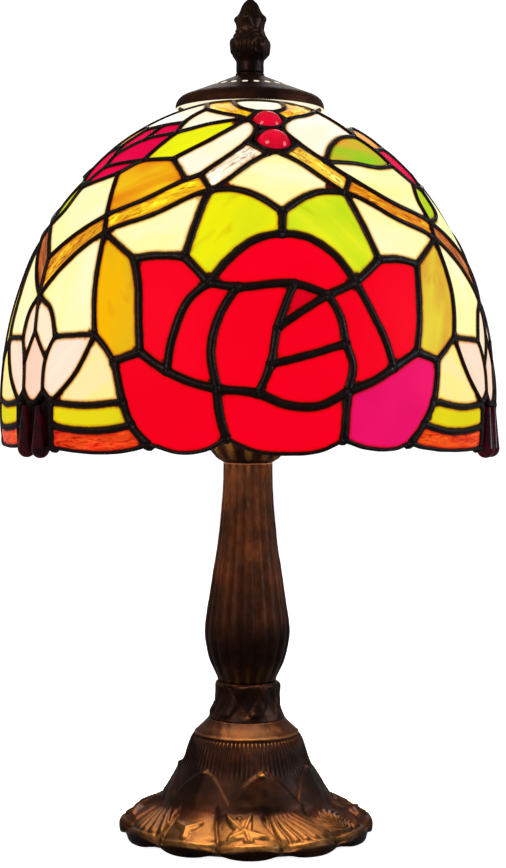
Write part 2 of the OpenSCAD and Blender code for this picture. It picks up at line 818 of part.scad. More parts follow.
module bulb_insulator() {
    color("black")
        translate([0, 0, 191.2])
            cylinder(r1 = 3.6, r2 = 6.4, h = 2.8);
}

// Screw cap of the bulb, closed by the insulator below
module bulb_cap() {
    color("silver")
        difference() {
            translate([0, 0, 194])
                cylinder(r = 6.95, h = 19);
            translate([0, 0, 194.5])
                cylinder(r = 6.4, h = 19);
        }
}

module bulb_glass() {
    wall = 0.7;
    neck_r = 6.3;
    color("white")
        rotate_extrude()
            difference() {
                intersection() {
                    union() {
                        translate([0, bulb_z])
                            circle(r = bulb_r);
                        translate([0, 198])
                            square([neck_r, 20]);
                        polygon([[0, 213], [neck_r, 213], [7.5, 216.5], [10.5, 222], [14, 227.5],
                            [14, 240], [0, 240]]);
                    }
                    translate([0, 190])
                        square([60, 90]);
                }
                union() {
                    translate([0, bulb_z])
                        circle(r = bulb_r - wall);
                    translate([0, 190])
                        square([neck_r - wall, 24]);
                    polygon([[0, 212], [neck_r - wall, 213], [6.8, 216.8], [9.8, 222.4],
                        [13.3, 228], [13.3, 240], [0, 240]]);
                }
            }
}

// Glass stem that holds the filament's wires
module bulb_mount() {
    color("white")
        union() {
            translate([0, 0, 200])
                cylinder(r = 4.8, h = 3);
            translate([0, 0, 202])
                cylinder(r = 2.2, h = 24);
        }
}

module bulb_filament() {
    arm = 9;
    color("orange")
        union() {
            for (s = [-1, 1])
                translate([s * 1.2, 0, 226])
                    rotate([0, s * atan2(arm - 1.2, 20), 0])
                        cylinder(r = 0.35, h = 21.5, $fn = 16);
            translate([-arm, 0, 246.3])
                rotate([0, 90, 0])
                    cylinder(r = 0.8, h = 2 * arm, $fn = 16);
        }
}

rest_pad();
base_plate();
plate_nut();
foot_casting();
cord_grommet();
pipe_washer();
neck_collar();
stem_casting();
drip_cup();
cup_plate();
lamp_pipe();
harp_saddle();
harp();
socket_cap();
socket_shell();
socket_liner();
socket_core();
screw_shell();
spring_contact();
bulb_contact();
bulb_insulator();
bulb_cap();
bulb_glass();
bulb_mount();
bulb_filament();
rose_glass();
magenta_glass();
bud_glass();
sepal_glass();
gold_leaf_glass();
olive_leaf_glass();
small_leaf_glass();
small_rose_glass();
lower_cream_glass();
upper_cream_glass();
rope_glass();
tulip_glass();
band_glass();
rim_glass();
round_cabochons();
drop_cabochons();
solder_lattice();
top_ring();
vase_cap();
finial_washer();
finial();
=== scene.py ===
"""Looks of the stained glass table lamp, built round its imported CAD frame.

Lengths are millimetres inside the script and become metres where a mesh is made. A place on the shade is
[turn, rise] in degrees: the turn is 0 at -Y and grows towards +X, and the rise is measured above the dome's
widest level.
"""

import math

import bpy
import numpy as np
from mathutils import Matrix, Vector
from mathutils.geometry import delaunay_2d_cdt


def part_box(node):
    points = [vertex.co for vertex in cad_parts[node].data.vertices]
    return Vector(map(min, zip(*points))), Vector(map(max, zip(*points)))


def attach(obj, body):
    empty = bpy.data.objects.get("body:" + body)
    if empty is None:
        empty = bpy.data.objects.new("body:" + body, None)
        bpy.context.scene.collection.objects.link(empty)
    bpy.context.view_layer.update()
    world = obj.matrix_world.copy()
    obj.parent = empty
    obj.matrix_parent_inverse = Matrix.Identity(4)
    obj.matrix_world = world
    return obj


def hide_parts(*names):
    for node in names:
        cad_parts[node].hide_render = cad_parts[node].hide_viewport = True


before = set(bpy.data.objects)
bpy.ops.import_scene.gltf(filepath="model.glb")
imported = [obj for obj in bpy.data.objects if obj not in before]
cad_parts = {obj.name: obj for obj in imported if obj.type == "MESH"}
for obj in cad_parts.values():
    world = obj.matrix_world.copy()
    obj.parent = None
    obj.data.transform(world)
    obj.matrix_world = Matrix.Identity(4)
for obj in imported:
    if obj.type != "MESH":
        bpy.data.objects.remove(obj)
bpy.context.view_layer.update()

MM = 0.001
REPEATS = 3
SECTOR = 360 / REPEATS

# The dome of the shade: its widest level, its glass, and the ellipsoid of the glass's inner face
DOME_LEVEL = 175.0
GLASS_T = 3.0
CREST = 3.9
INNER_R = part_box("solder_lattice")[1].x / MM - CREST
INNER_H = INNER_R + 23.5
DOME_SCALE = np.array([1 / INNER_R, 1 / INNER_R, 1 / INNER_H])


# ---- Camera, light and stage ----

def add_camera():
    """Looks at the lamp a little from the left of the big rose, from just above the hem's height."""
    turn, roll, lens = math.radians(-8.5), math.radians(0.3), 74.65
    distance, eye_height = 0.739, 0.1815
    drop, sideways = 0.0181, 0.002
    right = Vector((math.cos(turn), math.sin(turn), 0))
    eye = Vector((distance * math.sin(turn), -distance * math.cos(turn), eye_height))
    target = right * sideways + Vector((0, 0, eye_height - drop))
    data = bpy.data.cameras.new("camera")
    data.lens = lens
    data.clip_start = 0.01
    camera = bpy.data.objects.new("camera", data)
    bpy.context.scene.collection.objects.link(camera)
    aim = (target - eye).to_track_quat("-Z", "Y").to_matrix().to_4x4()
    camera.matrix_world = Matrix.Translation(eye) @ aim @ Matrix.Rotation(roll, 4, "Z")
    bpy.context.scene.camera = camera


def add_area_light(name, place, target, size, watts, colour):
    data = bpy.data.lights.new(name, "AREA")
    data.shape = "DISK"
    data.size = size
    data.energy = watts
    data.color = colour
    light = bpy.data.objects.new(name, data)
    light.location = place
    light.rotation_euler = (Vector(target) - Vector(place)).to_track_quat("-Z", "Y").to_euler()
    bpy.context.scene.collection.objects.link(light)


def add_lights():
    add_area_light("soft_left", (-0.9, -0.8, 0.75), (0, 0, 0.12), 0.5, 4.5, (1, 0.93, 0.85))
    add_area_light("soft_right", (1.0, -0.35, 0.5), (0, 0, 0.12), 0.5, 4, (0.66, 0.83, 1))
    add_area_light("soft_back", (0.2, 1.1, 0.8), (0, 0, 0.15), 0.7, 3.5, (1, 0.97, 0.93))
    add_area_light("lamp_glow", (0, 0, 0.168), (0, 0, 0), 0.15, 0.75, (1, 0.76, 0.46))


def flat_material(name, colour, glow):
    material = bpy.data.materials.new(name)
    material.use_nodes = True
    shader = material.node_tree.nodes["Principled BSDF"]
    shader.inputs["Base Color"].default_value = colour
    shader.inputs["Roughness"].default_value = 0.9
    shader.inputs["Specular IOR Level"].default_value = 0.1
    shader.inputs["Emission Color"].default_value = colour
    shader.inputs["Emission Strength"].default_value = glow
    return material


def add_stage():
    """A pale floor and a white surround, which light neither the metal nor the glass."""
    white, floor_size, surround_r = (1, 1, 1, 1), 8, 3.8
    bpy.ops.mesh.primitive_plane_add(size=floor_size)
    floor = bpy.context.object
    floor.name = "floor"
    floor.data.materials.append(flat_material("pale_floor", white, 0.92))
    bpy.ops.mesh.primitive_uv_sphere_add(radius=surround_r, segments=48, ring_count=24)
    surround = bpy.context.object
    surround.name = "surround"
    surround.data.materials.append(flat_material("white_surround", white, 1.0))
    surround.visible_shadow = False
    for thing in (floor, surround):
        thing.visible_diffuse = False
        thing.visible_glossy = False
        thing.visible_transmission = False
    world = bpy.data.worlds.new("studio")
    world.use_nodes = True
    world.node_tree.nodes["Background"].inputs["Color"].default_value = (0.95, 0.97, 1, 1)
    world.node_tree.nodes["Background"].inputs["Strength"].default_value = 0.16
    bpy.context.scene.world = world
    bpy.context.scene.view_settings.view_transform = "Standard"


# ---- Pattern of the shade ----

def after(place):
    """The same place one repeat further round."""
    return [place[0] + SECTOR, place[1]]


def tulip(turn, rise):
    """A place measured from the tulip's middle."""
    return [SECTOR / 2 + turn, rise]


def mirrored(place):
    return [-place[0], place[1]]


# Degrees that the seams are spread towards the back: the most at each turn, and the share of it at each rise
SPREAD = [[0, 0], [25, 0], [47, 2.2], [60, 7.5], [80, 8], [180, 0]]
SPREAD_SHARE = [[-11, 0.5], [2, 0.42], [15, 0.5], [25, 0.85], [34, 1.1], [45, 1], [60, 0.8], [80, 0.6]]


def wrap(turn, period=360.0):
    """A turn brought to within half a period of zero."""
    return (turn + period / 2) % period - period / 2


def spread(place, repeat):
    """A place of one repeat, its turn brought to within 180 degrees of the front and spread."""
    turn = wrap(place[0] + repeat * SECTOR)
    most = np.interp(abs(turn), *zip(*SPREAD))
    return [turn + math.copysign(most * np.interp(place[1], *zip(*SPREAD_SHARE)), turn), place[1]]


# Junctions round the big rose
j_top_l = [-17.5, 26]
j_top_r = [16, 26.5]
j_crown = [-0.5, 36.5]
j_bud_l = [-11, 25]
j_bud_top = [1.5, 25.8]
j_bud_r = [9, 23.5]
j_bud_in = [-2.5, 16.5]
j_bud_mid = [-4, 9]
j_bud_side = [12.3, 13.5]
j_bud_foot = [-6.5, 3]
j_low_l = [-15, 4]
j_low_r = [12.5, 3.5]
j_in_l = [-25.5, 7.5]
j_in_r = [23.5, 8.5]
j_out_l = [-31.5, 11.5]
j_out_r = [30, 12]
j_ear_l = [-35.3, 31.3]
j_ear_r = [34.5, 31]
j_sepal_l = [-23.5, 31.5]
j_sepal_r = [23.5, 31.5]
j_heart = [0, 41.5]
j_leaf_l = [-37.5, 9.5]
j_leaf_r = [36, 10.3]
j_band_l = [-35, 1.2]
j_band_r = [34.3, 1.6]
j_rim_l = [-33, -3.7]
j_rim_r = [31.5, -3.3]
j_hem_l = [-29.5, -7.8]
j_hem_r = [28, -7.4]
j_hem_in_l = [-13, -6.1]
j_hem_in_r = [11.7, -6.4]

# Junctions along the amber rope
k_up_r = [5, 71.5]
k_low_r = [9.8, 67.8]
k_top_r = [9.6, 59.5]
k_foot_r = [2.8, 55.9]
k_one_r = [23, 50.5]
k_one_low_r = [19.2, 46.5]
k_two_r = [47, 41.5]
k_two_low_r = [45.5, 37.5]
k_cap_in_r = [26, 80.2]
k_cap_out_r = [57, 80.2]
k_mid = tulip(0, 32.8)
k_mid_low = tulip(0, 24.3)
k_side_up_r = [5.7, 64.4]
k_foot_l = [-2.4, 56]
k_crown = [0.2, 56.6]
rope_right = (
    k_up_r, k_low_r, k_top_r, k_one_r, k_one_low_r, k_two_r, k_two_low_r, k_cap_in_r, k_cap_out_r, k_side_up_r
)
(
    k_up_l, k_low_l, k_top_l, k_one_l, k_one_low_l, k_two_l, k_two_low_l, k_cap_in_l, k_cap_out_l, k_side_up_l
) = map(mirrored, rope_right)

# Junctions round the tulip, and where it meets the leaves on either side
t_in_l = tulip(-6.5, 15)
t_in_r = tulip(6.5, 15)
t_front = tulip(-0.3, 16.3)
t_side_l = tulip(-4.2, 9.5)
t_side_r = tulip(4.3, 10.3)
t_foot_l = tulip(-3.8, 3.3)
t_foot_r = tulip(3.8, 3.3)
t_foot = tulip(0, 0.7)
t_tip_l = [42.7, 15.3]
t_tip_r = after([-42.7, 15.3])
t_band_l = tulip(-6.5, 1)
t_band_r = tulip(6.5, 1)
t_rim_l = tulip(-6.5, -4.1)
t_rim_r = tulip(6.5, -4.1)
t_hem_l = tulip(-6.5, -9)
t_hem_r = tulip(6.5, -9)

# Junctions round the small rose above the tulip
s_leaf_tip_l = tulip(-43.3, 54.3)
s_leaf_tip_r = tulip(33, 49.2)
s_fork_r = tulip(26.5, 55)
s_out_r = tulip(21, 63.5)
s_top_r = tulip(19.5, 67.3)
s_low_r = tulip(15.5, 55.2)
s_foot_r = tulip(9, 52.3)
s_foot_l = tulip(-4.5, 50)
s_leaf_l = tulip(-8, 51.2)
s_low_l = tulip(-13, 55.5)
s_out_l = tulip(-14.5, 59.7)
s_far_l = tulip(-18.5, 63.6)
s_in_l = tulip(-4, 61.3)
s_top_l = tulip(1, 66.4)
s_top_m = tulip(9, 67)
s_mid_r = tulip(8, 62)
s_mid_l = tulip(-1, 58)
s_mid_low = tulip(0.5, 54.6)
s_vein_l = tulip(-16, 75)
s_vein_r = tulip(23, 73.6)

ROSE = [
    [j_top_l, [-13, 31], [-7.5, 35], j_crown, [6, 35.7], [12, 32], j_top_r, j_bud_r, j_bud_top,
        j_bud_l],
    [j_top_l, [-21.5, 22.5], [-24.5, 15], j_in_l, j_out_l, [-32.3, 19], [-33.3, 26], j_ear_l,
        [-30, 31.8], j_sepal_l],
    [j_top_l, j_bud_l, [-14.5, 19.5], [-16.3, 12], j_low_l, [-20, 5.2], j_in_l, [-24.5, 15],
        [-21.5, 22.5]],
    [j_top_r, [19.3, 20], [22, 14], j_in_r, [18.5, 5.8], j_low_r, [13.7, 9], j_bud_side,
        [11.5, 19], j_bud_r],
    [j_top_r, j_sepal_r, [30, 31.8], j_ear_r, [32.8, 24], [31.5, 17.5], j_out_r, j_in_r,
        [22, 14], [19.3, 20]],
    [j_out_l, j_in_l, [-20, 5.2], j_low_l, [-14.3, -1.5], j_hem_in_l, [-17.5, -8.7], [-23, -9.3],
        j_hem_l, j_rim_l, j_band_l, j_leaf_l],
    [j_low_l, j_bud_foot, [-1, 0.8], [6, 0.5], j_low_r, j_hem_in_r, [6.5, -8.8], [-0.5, -9.4],
        [-7, -8.8], j_hem_in_l, [-14.3, -1.5]]
]
BUD = [
    [j_bud_l, j_bud_top, j_bud_in, j_bud_mid, j_bud_foot, j_low_l, [-16.3, 12], [-14.5, 19.5]],
    [j_bud_top, j_bud_r, j_bud_in],
    [j_bud_in, j_bud_r, [11.5, 19], j_bud_side, [4, 11], j_bud_mid],
    [j_bud_mid, [4, 11], j_bud_side, [13.7, 9], j_low_r, [6, 0.5], [-1, 0.8], j_bud_foot]
]
MAGENTA = [
    [j_low_r, [18.5, 5.8], j_in_r, j_out_r, j_leaf_r, j_band_r, j_rim_r, j_hem_r, [24, -8.5],
        [17.5, -8.3], j_hem_in_r]
]
SEPAL = [
    [j_top_l, j_sepal_l, [-21.8, 39], k_one_low_l, [-11, 46.5], j_heart, j_crown, [-7.5, 35],
        [-13, 31]],
    [j_top_r, [12, 32], [6, 35.7], j_crown, j_heart, [10.5, 46.3], k_one_low_r, [21.5, 39],
        j_sepal_r]
]
GOLD_LEAF = [
    [k_two_low_l, j_ear_l, [-33.3, 26], [-32.3, 19], j_out_l, j_leaf_l, mirrored(t_tip_l),
        [-44, 25]]
]
OLIVE_LEAF = [
    [k_two_low_r, [45, 25], t_tip_l, j_leaf_r, j_out_r, [31.5, 17.5], [32.8, 24], j_ear_r]
]
LOWER_CREAM = [
    [k_foot_l, k_crown, k_foot_r, k_one_low_r, [10.5, 46.3], j_heart, [-11, 46.5], k_one_low_l],
    [k_one_low_l, [-21.8, 39], j_sepal_l, [-30, 31.8], j_ear_l, k_two_low_l, [-33, 41.2]],
    [k_one_low_r, [33, 41.2], k_two_low_r, j_ear_r, [30, 31.8], j_sepal_r, [21.5, 39]],
    [k_two_low_r, [52.5, 32], k_mid_low, tulip(-4, 21), t_in_l, t_tip_l, [45, 25]],
    [k_mid_low, [67.5, 32], after(k_two_low_l), after([-44, 25]), t_tip_r, t_in_r,
        tulip(4.5, 21)],
    [t_tip_l, tulip(-13, 7.3), t_band_l, [44, 0.3], j_band_r, j_leaf_r],
    [t_tip_r, after(j_leaf_l), after(j_band_l), after([-44.5, 0.3]), t_band_r, tulip(13, 7.3)]
]
UPPER_CREAM = [
    [k_up_l, k_up_r, [14, 73.7], k_cap_in_r, k_cap_in_l, [-14, 73.7]],
    [k_low_r, [24, 70.8], [35, 73.2], s_vein_l, s_far_l, [32, 62.8], [23.5, 59.7], s_leaf_tip_l,
        k_top_r, k_side_up_r],
    [s_vein_l, k_cap_out_r, after(k_cap_out_l), s_vein_r, s_top_r, s_top_m, s_top_l,
        tulip(-9.5, 67.8), s_far_l],
    [s_vein_r, after([-24, 70.8]), after(k_low_l), tulip(35, 66.3), s_out_r, s_top_r],
    [after(k_low_l), after(k_side_up_l), after(k_top_l), after(k_one_l), s_leaf_tip_r, s_fork_r,
        tulip(37, 60.5)],
    [s_leaf_tip_l, tulip(-33, 54.6), tulip(-23, 54.2), s_low_l, s_leaf_l, tulip(-12.5, 46.5),
        k_two_r, [34, 45.2], k_one_r],
    [k_two_r, tulip(-6.5, 44), s_foot_l, s_foot_r, after(k_two_l), k_mid]
]
ROPE = [
    [k_up_r, k_low_r, [24, 70.8], [35, 73.2], s_vein_l, k_cap_out_r, k_cap_in_r, [14, 73.7]],
    [k_up_l, [-14, 73.7], k_cap_in_l, k_cap_out_l, [-37, 73.6], [-24, 70.8], k_low_l],
    [k_top_r, s_leaf_tip_l, k_one_r, k_one_low_r, k_foot_r],
    [k_top_l, k_foot_l, k_one_low_l, k_one_l],
    [k_one_r, [34, 45.2], k_two_r, k_two_low_r, [33, 41.2], k_one_low_r],
    [k_one_l, k_one_low_l, [-33, 41.2], k_two_low_l, k_two_l, [-37, 44.8], [-27, 49.2]],
    [k_two_r, k_mid, k_mid_low, [52.5, 32], k_two_low_r],
    [k_mid, after(k_two_l), after(k_two_low_l), [67.5, 32], k_mid_low]
]
SMALL_LEAF = [
    [s_leaf_tip_l, [23.5, 59.7], [32, 62.8], s_far_l, s_out_l, s_low_l, tulip(-23, 54.2),
        tulip(-33, 54.6)],
    [s_far_l, tulip(-9.5, 67.8), s_top_l, s_in_l, s_out_l],
    [after(k_low_l), tulip(37, 60.5), s_fork_r, s_low_r, s_out_r, tulip(35, 66.3)],
    [s_low_r, s_fork_r, s_leaf_tip_r, tulip(23, 44.8), after(k_two_l), s_foot_r],
    [k_two_r, tulip(-12.5, 46.5), s_leaf_l, s_foot_l, tulip(-6.5, 44)]
]
SMALL_ROSE = [
    [s_top_m, s_top_r, s_out_r, s_mid_r],
    [s_mid_r, s_out_r, s_low_r, s_mid_low, s_mid_l],
    [s_foot_l, s_mid_low, s_low_r, s_foot_r],
    [s_leaf_l, s_low_l, s_out_l, s_in_l, s_mid_l, s_mid_low, s_foot_l],
    [s_in_l, s_top_l, s_top_m, s_mid_r, s_mid_l]
]
TULIP = [
    [t_in_l, t_tip_l, tulip(-13, 7.3), t_band_l, t_foot_l, t_side_l],
    [k_mid_low, tulip(-4, 21), t_in_l, t_side_l, t_front],
    [k_mid_low, t_front, t_side_r, t_in_r, tulip(4.5, 21)],
    [t_front, t_side_l, t_foot_l, t_foot, t_foot_r, t_side_r],
    [t_in_r, t_side_r, t_foot_r, t_band_r, tulip(13, 7.3), t_tip_r]
]
BAND = [
    [j_band_r, [44, 0.3], t_band_l, t_rim_l, [46, -5], [38.5, -4.9], j_rim_r],
    [t_band_r, after([-44.5, 0.3]), after(j_band_l), after(j_rim_l), after([-39.5, -4.9]),
        after([-46.5, -5]), t_rim_r]
]
RIM = [
    [j_rim_r, [38.5, -4.9], [46, -5], t_rim_l, t_hem_l, [46.5, -9.2], [38, -9], [31.5, -8.2],
        j_hem_r],
    [t_rim_r, after([-46.5, -5]), after([-39.5, -4.9]), after(j_rim_l), after(j_hem_l),
        after([-33, -8.8]), after([-39, -9.6]), after([-47, -9.5]), t_hem_r]
]
# Round cabochons: place, and radius in millimetres
ROUND_STONES = [[[0, 67.5], 6.1], [[0.7, 60.4], 6.6]]

# What the solder fills as a sheet: round the cabochons, and behind the long stones
SOLDER_SHEETS = [
    [k_up_l, k_up_r, k_low_r, k_side_up_r, k_top_r, k_foot_r, k_crown, k_foot_l, k_top_l, k_side_up_l,
        k_low_l],
    [t_band_l, t_foot_l, t_foot, t_foot_r, t_band_r, t_rim_r, t_hem_r, tulip(0, -10), t_hem_l, t_rim_l]
]

# Each kind of glass: its panes, slot and finish, half the width of the solder round it, and its tints as red, green
# and blue up to 255. There is one pair of tints for each pane of the list, or one pair for them all, and the glass
# runs from the pair's first tint to its second in clouds, streaks or ripples.
RED = [(255, 0, 34), (248, 0, 30)]
MILK = [(255, 252, 164), (255, 253, 206)]
# Painted light: cream tints made paler for the panes near the cap, as a painted glare of the bulb behind them
BULB_GLARE_CREAM = [(255, 249, 204), (255, 254, 240)]
PEACH = [(255, 242, 124), (254, 236, 176)]
GLASS = {
    "rose_glass": (ROSE, "glass_red", "calm", 1.75, [RED]),
    "bud_glass": (BUD, "glass_red", "calm", 1.6, [RED, [(236, 0, 34), (214, 0, 30)], RED, RED]),
    "magenta_glass": (MAGENTA, "glass_magenta", "calm", 1.7, [[(246, 20, 108), (228, 12, 96)]]),
    "sepal_glass": (SEPAL, "glass_green", "streaky", 1.6,
        [[(246, 242, 10), (222, 232, 24)], [(240, 244, 34), (196, 228, 26)]]),
    "gold_leaf_glass": (GOLD_LEAF, "glass_gold", "streaky", 1.3, [[(252, 188, 2), (224, 184, 24)]]),
    "olive_leaf_glass": (OLIVE_LEAF, "glass_olive", "streaky", 1.3, [[(240, 222, 56), (226, 172, 52)]]),
    "small_leaf_glass": (SMALL_LEAF, "glass_leaf", "streaky", 1.1,
        [[(126, 218, 26), (236, 176, 56)], [(250, 190, 64), (246, 112, 4)], [(252, 250, 14), (230, 242, 24)],
         [(252, 206, 24), (236, 130, 14)], [(205, 225, 40), (180, 215, 30)]]),
    "small_rose_glass": (SMALL_ROSE, "glass_crimson", "calm", 1.0, [[(250, 0, 78), (222, 0, 66)]]),
    "lower_cream_glass": (LOWER_CREAM, "glass_cream", "milky", 1.15, [MILK] * 5 + [PEACH] * 2),
    "upper_cream_glass": (UPPER_CREAM, "glass_cream", "milky", 1.15, [BULB_GLARE_CREAM] * 5 + [MILK] * 2),
    # Painted light: the two rope panes beside the cabochons, over the bulb, are tinted pale yellow and near white
    # as painted glare
    "rope_glass": (ROPE, "glass_amber", "rippled", 1.2,
        [[(255, 206, 14), (250, 150, 14)], [(255, 214, 20), (240, 168, 10)], [(255, 244, 120), (255, 208, 20)],
         [(255, 254, 236), (255, 250, 214)], [(250, 190, 26), (222, 118, 14)], [(255, 214, 22), (238, 170, 20)],
         [(216, 120, 40), (150, 70, 20)], [(250, 190, 20), (214, 130, 24)]]),
    "tulip_glass": (TULIP, "glass_pink", "milky", 0.85,
        [[(255, 236, 212), (255, 220, 194)], [(255, 238, 206), (255, 230, 200)],
         [(255, 238, 206), (255, 230, 200)], [(255, 224, 200), (255, 210, 186)],
         [(255, 240, 216), (253, 226, 206)]]),
    "band_glass": (BAND, "glass_lime", "calm", 1.4, [[(240, 222, 22), (222, 212, 30)]]),
    "rim_glass": (RIM, "glass_rust", "rippled", 1.5,
        [[(250, 92, 20), (222, 44, 8)], [(246, 80, 22), (214, 36, 8)]]),
}
# Half the width of the solder on the hem, half that of a seam round a sheet of solder, and the sheet's thickness
HEM_HALF, SHEET_HALF, SHEET_T = 0.85, 1.2, 1.5


# ---- Places on the dome ----

def ray(place):
    turn, rise = math.radians(place[0]), math.radians(place[1])
    return np.array([math.cos(rise) * math.sin(turn), -math.cos(rise) * math.cos(turn), math.sin(rise)])


def to_dome(vectors):
    """Moves points along their rays from the dome's middle onto the glass's inner face."""
    return vectors / np.linalg.norm(vectors * DOME_SCALE, axis=-1, keepdims=True)


def unit_rows(vectors):
    """Each row of an array of vectors, made one long."""
    return vectors / np.linalg.norm(vectors, axis=-1, keepdims=True)


def outward(points):
    """Unit normals of the dome at points on it."""
    return unit_rows(points / np.array([INNER_R ** 2, INNER_R ** 2, INNER_H ** 2]))


# ---- Seams: every edge of every pane, once, curved through the places where two edges flow on ----

# Cosine of the sharpest bend that a seam flows round, where two edges meet and where more do
CORNER_FLOW, JUNCTION_FLOW = 0.1, 0.86
# Distance between a seam's points, and the rise, in degrees, below which an edge of one pane is the hem
SEAM_STEP = 1.5
HEM_RISE = -5


def corner_key(point):
    return tuple(np.round(point, 2).tolist())


def all_loops():
    """Every outline of glass and of solder sheet on the shade, as (node, pane, repeat, points on the dome)."""
    rows = []
    outlines = [(node, i, pane) for node, kind in GLASS.items() for i, pane in enumerate(kind[0])]
    outlines += [("solder", i, sheet) for i, sheet in enumerate(SOLDER_SHEETS)]
    for repeat in range(REPEATS):
        for node, i, pane in outlines:
            points = to_dome(np.array([ray(spread(p, repeat)) for p in pane]))
            rows.append((node, i, repeat, points))
    return rows


class Seams:
    """The graph of the seams. sides[(a, b)] lists the kinds of glass on the edge from corner a to corner b."""

    def __init__(self, loops):
        self.sides = {}
        self.around = {}
        self.curves = {}
        for node, _, _, points in loops:
            keys = [corner_key(p) for p in points]
            for a, b in zip(keys, keys[1:] + keys[:1]):
                self.sides.setdefault(frozenset((a, b)), []).append(node)
                self.around.setdefault(a, set()).add(b)
                self.around.setdefault(b, set()).add(a)

    def direction(self, corner, ahead):
        """Unit direction in which the seam from corner to ahead leaves its corner, or None where it starts."""
        here, there = np.array(corner), np.array(ahead)
        onward = (there - here) / np.linalg.norm(there - here)
        others = [k for k in self.around[corner] if k != ahead]
        best, flow = None, CORNER_FLOW if len(others) == 1 else JUNCTION_FLOW
        for key in sorted(others):
            back = here - np.array(key)
            back = back / np.linalg.norm(back)
            if back @ onward > flow:
                best, flow = back, back @ onward
        if best is None:
            return None
        both = onward + best
        return both / np.linalg.norm(both)

    def curve(self, a, b):
        """Points from corner a to corner b, both included, about a step apart."""
        if (a, b) not in self.curves:
            start, end = np.array(a), np.array(b)
            length = np.linalg.norm(end - start)
            leave, arrive = self.direction(a, b), self.direction(b, a)
            out = None if leave is None else leave * length
            into = None if arrive is None else -arrive * length
            if out is None:
                out = end - start if into is None else 1.5 * (end - start) - 0.5 * into
            if into is None:
                into = 1.5 * (end - start) - 0.5 * out
            t = np.linspace(0, 1, max(3, round(length / SEAM_STEP)) + 1)[:, None]
            points = (2 * t ** 3 - 3 * t ** 2 + 1) * start + (t ** 3 - 2 * t ** 2 + t) * out
            points = points + (3 * t ** 2 - 2 * t ** 3) * end + (t ** 3 - t ** 2) * into
            points = to_dome(points)
            self.curves[(a, b)] = points
            self.curves[(b, a)] = points[::-1]
        return self.curves[(a, b)]

    def half_width(self, a, b):
        """Half the width of the bead from corner a to corner b, from the kinds of glass beside it."""
        nodes = self.sides[frozenset((a, b))]
        highest = max(math.degrees(math.asin(k[2] / np.linalg.norm(k))) for k in (a, b))
        if len(nodes) == 1 and highest < HEM_RISE:
            return HEM_HALF
        return max(GLASS[n][3] if n in GLASS else SHEET_HALF for n in nodes)

    def outline(self, points):
        """The curved outline of a pane with these corners, and half the width of the bead along it."""
        keys = [corner_key(p) for p in points]
        curves, halves = [], []
        for a, b in zip(keys, keys[1:] + keys[:1]):
            curves.append(self.curve(a, b)[:-1])
            halves.append(np.full(len(curves[-1]), self.half_width(a, b)))
        return np.vstack(curves), np.concatenate(halves)

    def runs(self):
        """Every seam from one junction to the next, as its corners in order."""
        done, found = set(), []
        for start in sorted(self.around):
            if len(self.around[start]) == 2:
                continue
            for ahead in sorted(self.around[start]):
                if (start, ahead) in done:
                    continue
                run = [start, ahead]
                while len(self.around[run[-1]]) == 2:
                    run.append(next(k for k in sorted(self.around[run[-1]]) if k != run[-2]))
                done.add((run[-1], run[-2]))
                found.append(run)
        return found


# ---- Meshes ----

def woven(rows, around, first=0, closed=False):
    """Faces between rings of points, from the first ring to the last, and back to the first where it is closed."""
    i, k = np.meshgrid(np.arange(rows if closed else rows - 1), np.arange(around), indexing="ij")
    low, high, ahead = first + i * around, first + (i + 1) % rows * around, (k + 1) % around
    return np.stack([low + k, low + ahead, high + ahead, high + k], 2).reshape(-1, 4).tolist()


def turned(faces):
    """The same faces, seen from their other side."""
    return [face[:1] + face[:0:-1] for face in faces]


def lengths(points):
    """How far along a line of points each of them is."""
    return np.concatenate([[0], np.cumsum(np.linalg.norm(np.diff(points, axis=0), axis=1))])


def new_piece(name, verts, faces, material, body, nodes):
    """Makes a piece from millimetre points, in place of some CAD nodes, and sets it riding on a body."""
    mesh = bpy.data.meshes.new(name)
    mesh.from_pydata((np.asarray(verts) * MM).tolist(), [], faces)
    mesh.materials.append(material)
    mesh.shade_smooth()
    piece = bpy.data.objects.new(name, mesh)
    bpy.context.scene.collection.objects.link(piece)
    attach(piece, body)
    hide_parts(*nodes)
    return piece


def add_values(piece, name, kind, values):
    """Stores one value, or one colour, for each point of a piece."""
    attribute = piece.data.attributes.new(name, kind, "POINT")
    field = "color" if kind == "FLOAT_COLOR" else "value"
    attribute.data.foreach_set(field, np.asarray(values, np.float32).ravel())


class Shells:
    """Points and faces of many shells on the dome, gathered into one piece of the shade."""

    def __init__(self):
        self.verts, self.faces, self.count = [], [], 0

    def add(self, verts, faces):
        self.verts.append(verts)
        self.faces += [[k + self.count for k in face] for face in faces]
        self.count += len(verts)

    def piece(self, name, material, slot, node):
        verts = np.vstack(self.verts) + np.array([0, 0, DOME_LEVEL])
        return new_piece(name, verts, self.faces, material, "shade", [node])


def linear(colours):
    """Linear light of screen colours that run up to 255."""
    c = np.asarray(colours, float) / 255
    return np.where(c <= 0.04045, c / 12.92, ((c + 0.055) / 1.055) ** 2.4)


def ease(low, high, x):
    t = np.clip((x - low) / (high - low), 0, 1)
    return t * t * (3 - 2 * t)


def hill(x, width):
    return np.exp(-(x / width) ** 2)


# ---- Glass ----

# How far a pane's edge stays inside the middle of its seam
PANE_GAP = 0.35


def flat_axes(points):
    """Middle, and the pane's own long, short and outward axes."""
    middle = points.mean(0)
    normal = outward(to_dome(middle[None]))[0]
    offsets = points - middle
    offsets = offsets - np.outer(offsets @ normal, normal)
    long_axis = np.linalg.svd(offsets, full_matrices=False)[2][0]
    long_axis = long_axis - normal * (long_axis @ normal)
    long_axis = long_axis / np.linalg.norm(long_axis)
    return middle, long_axis, np.cross(normal, long_axis), normal


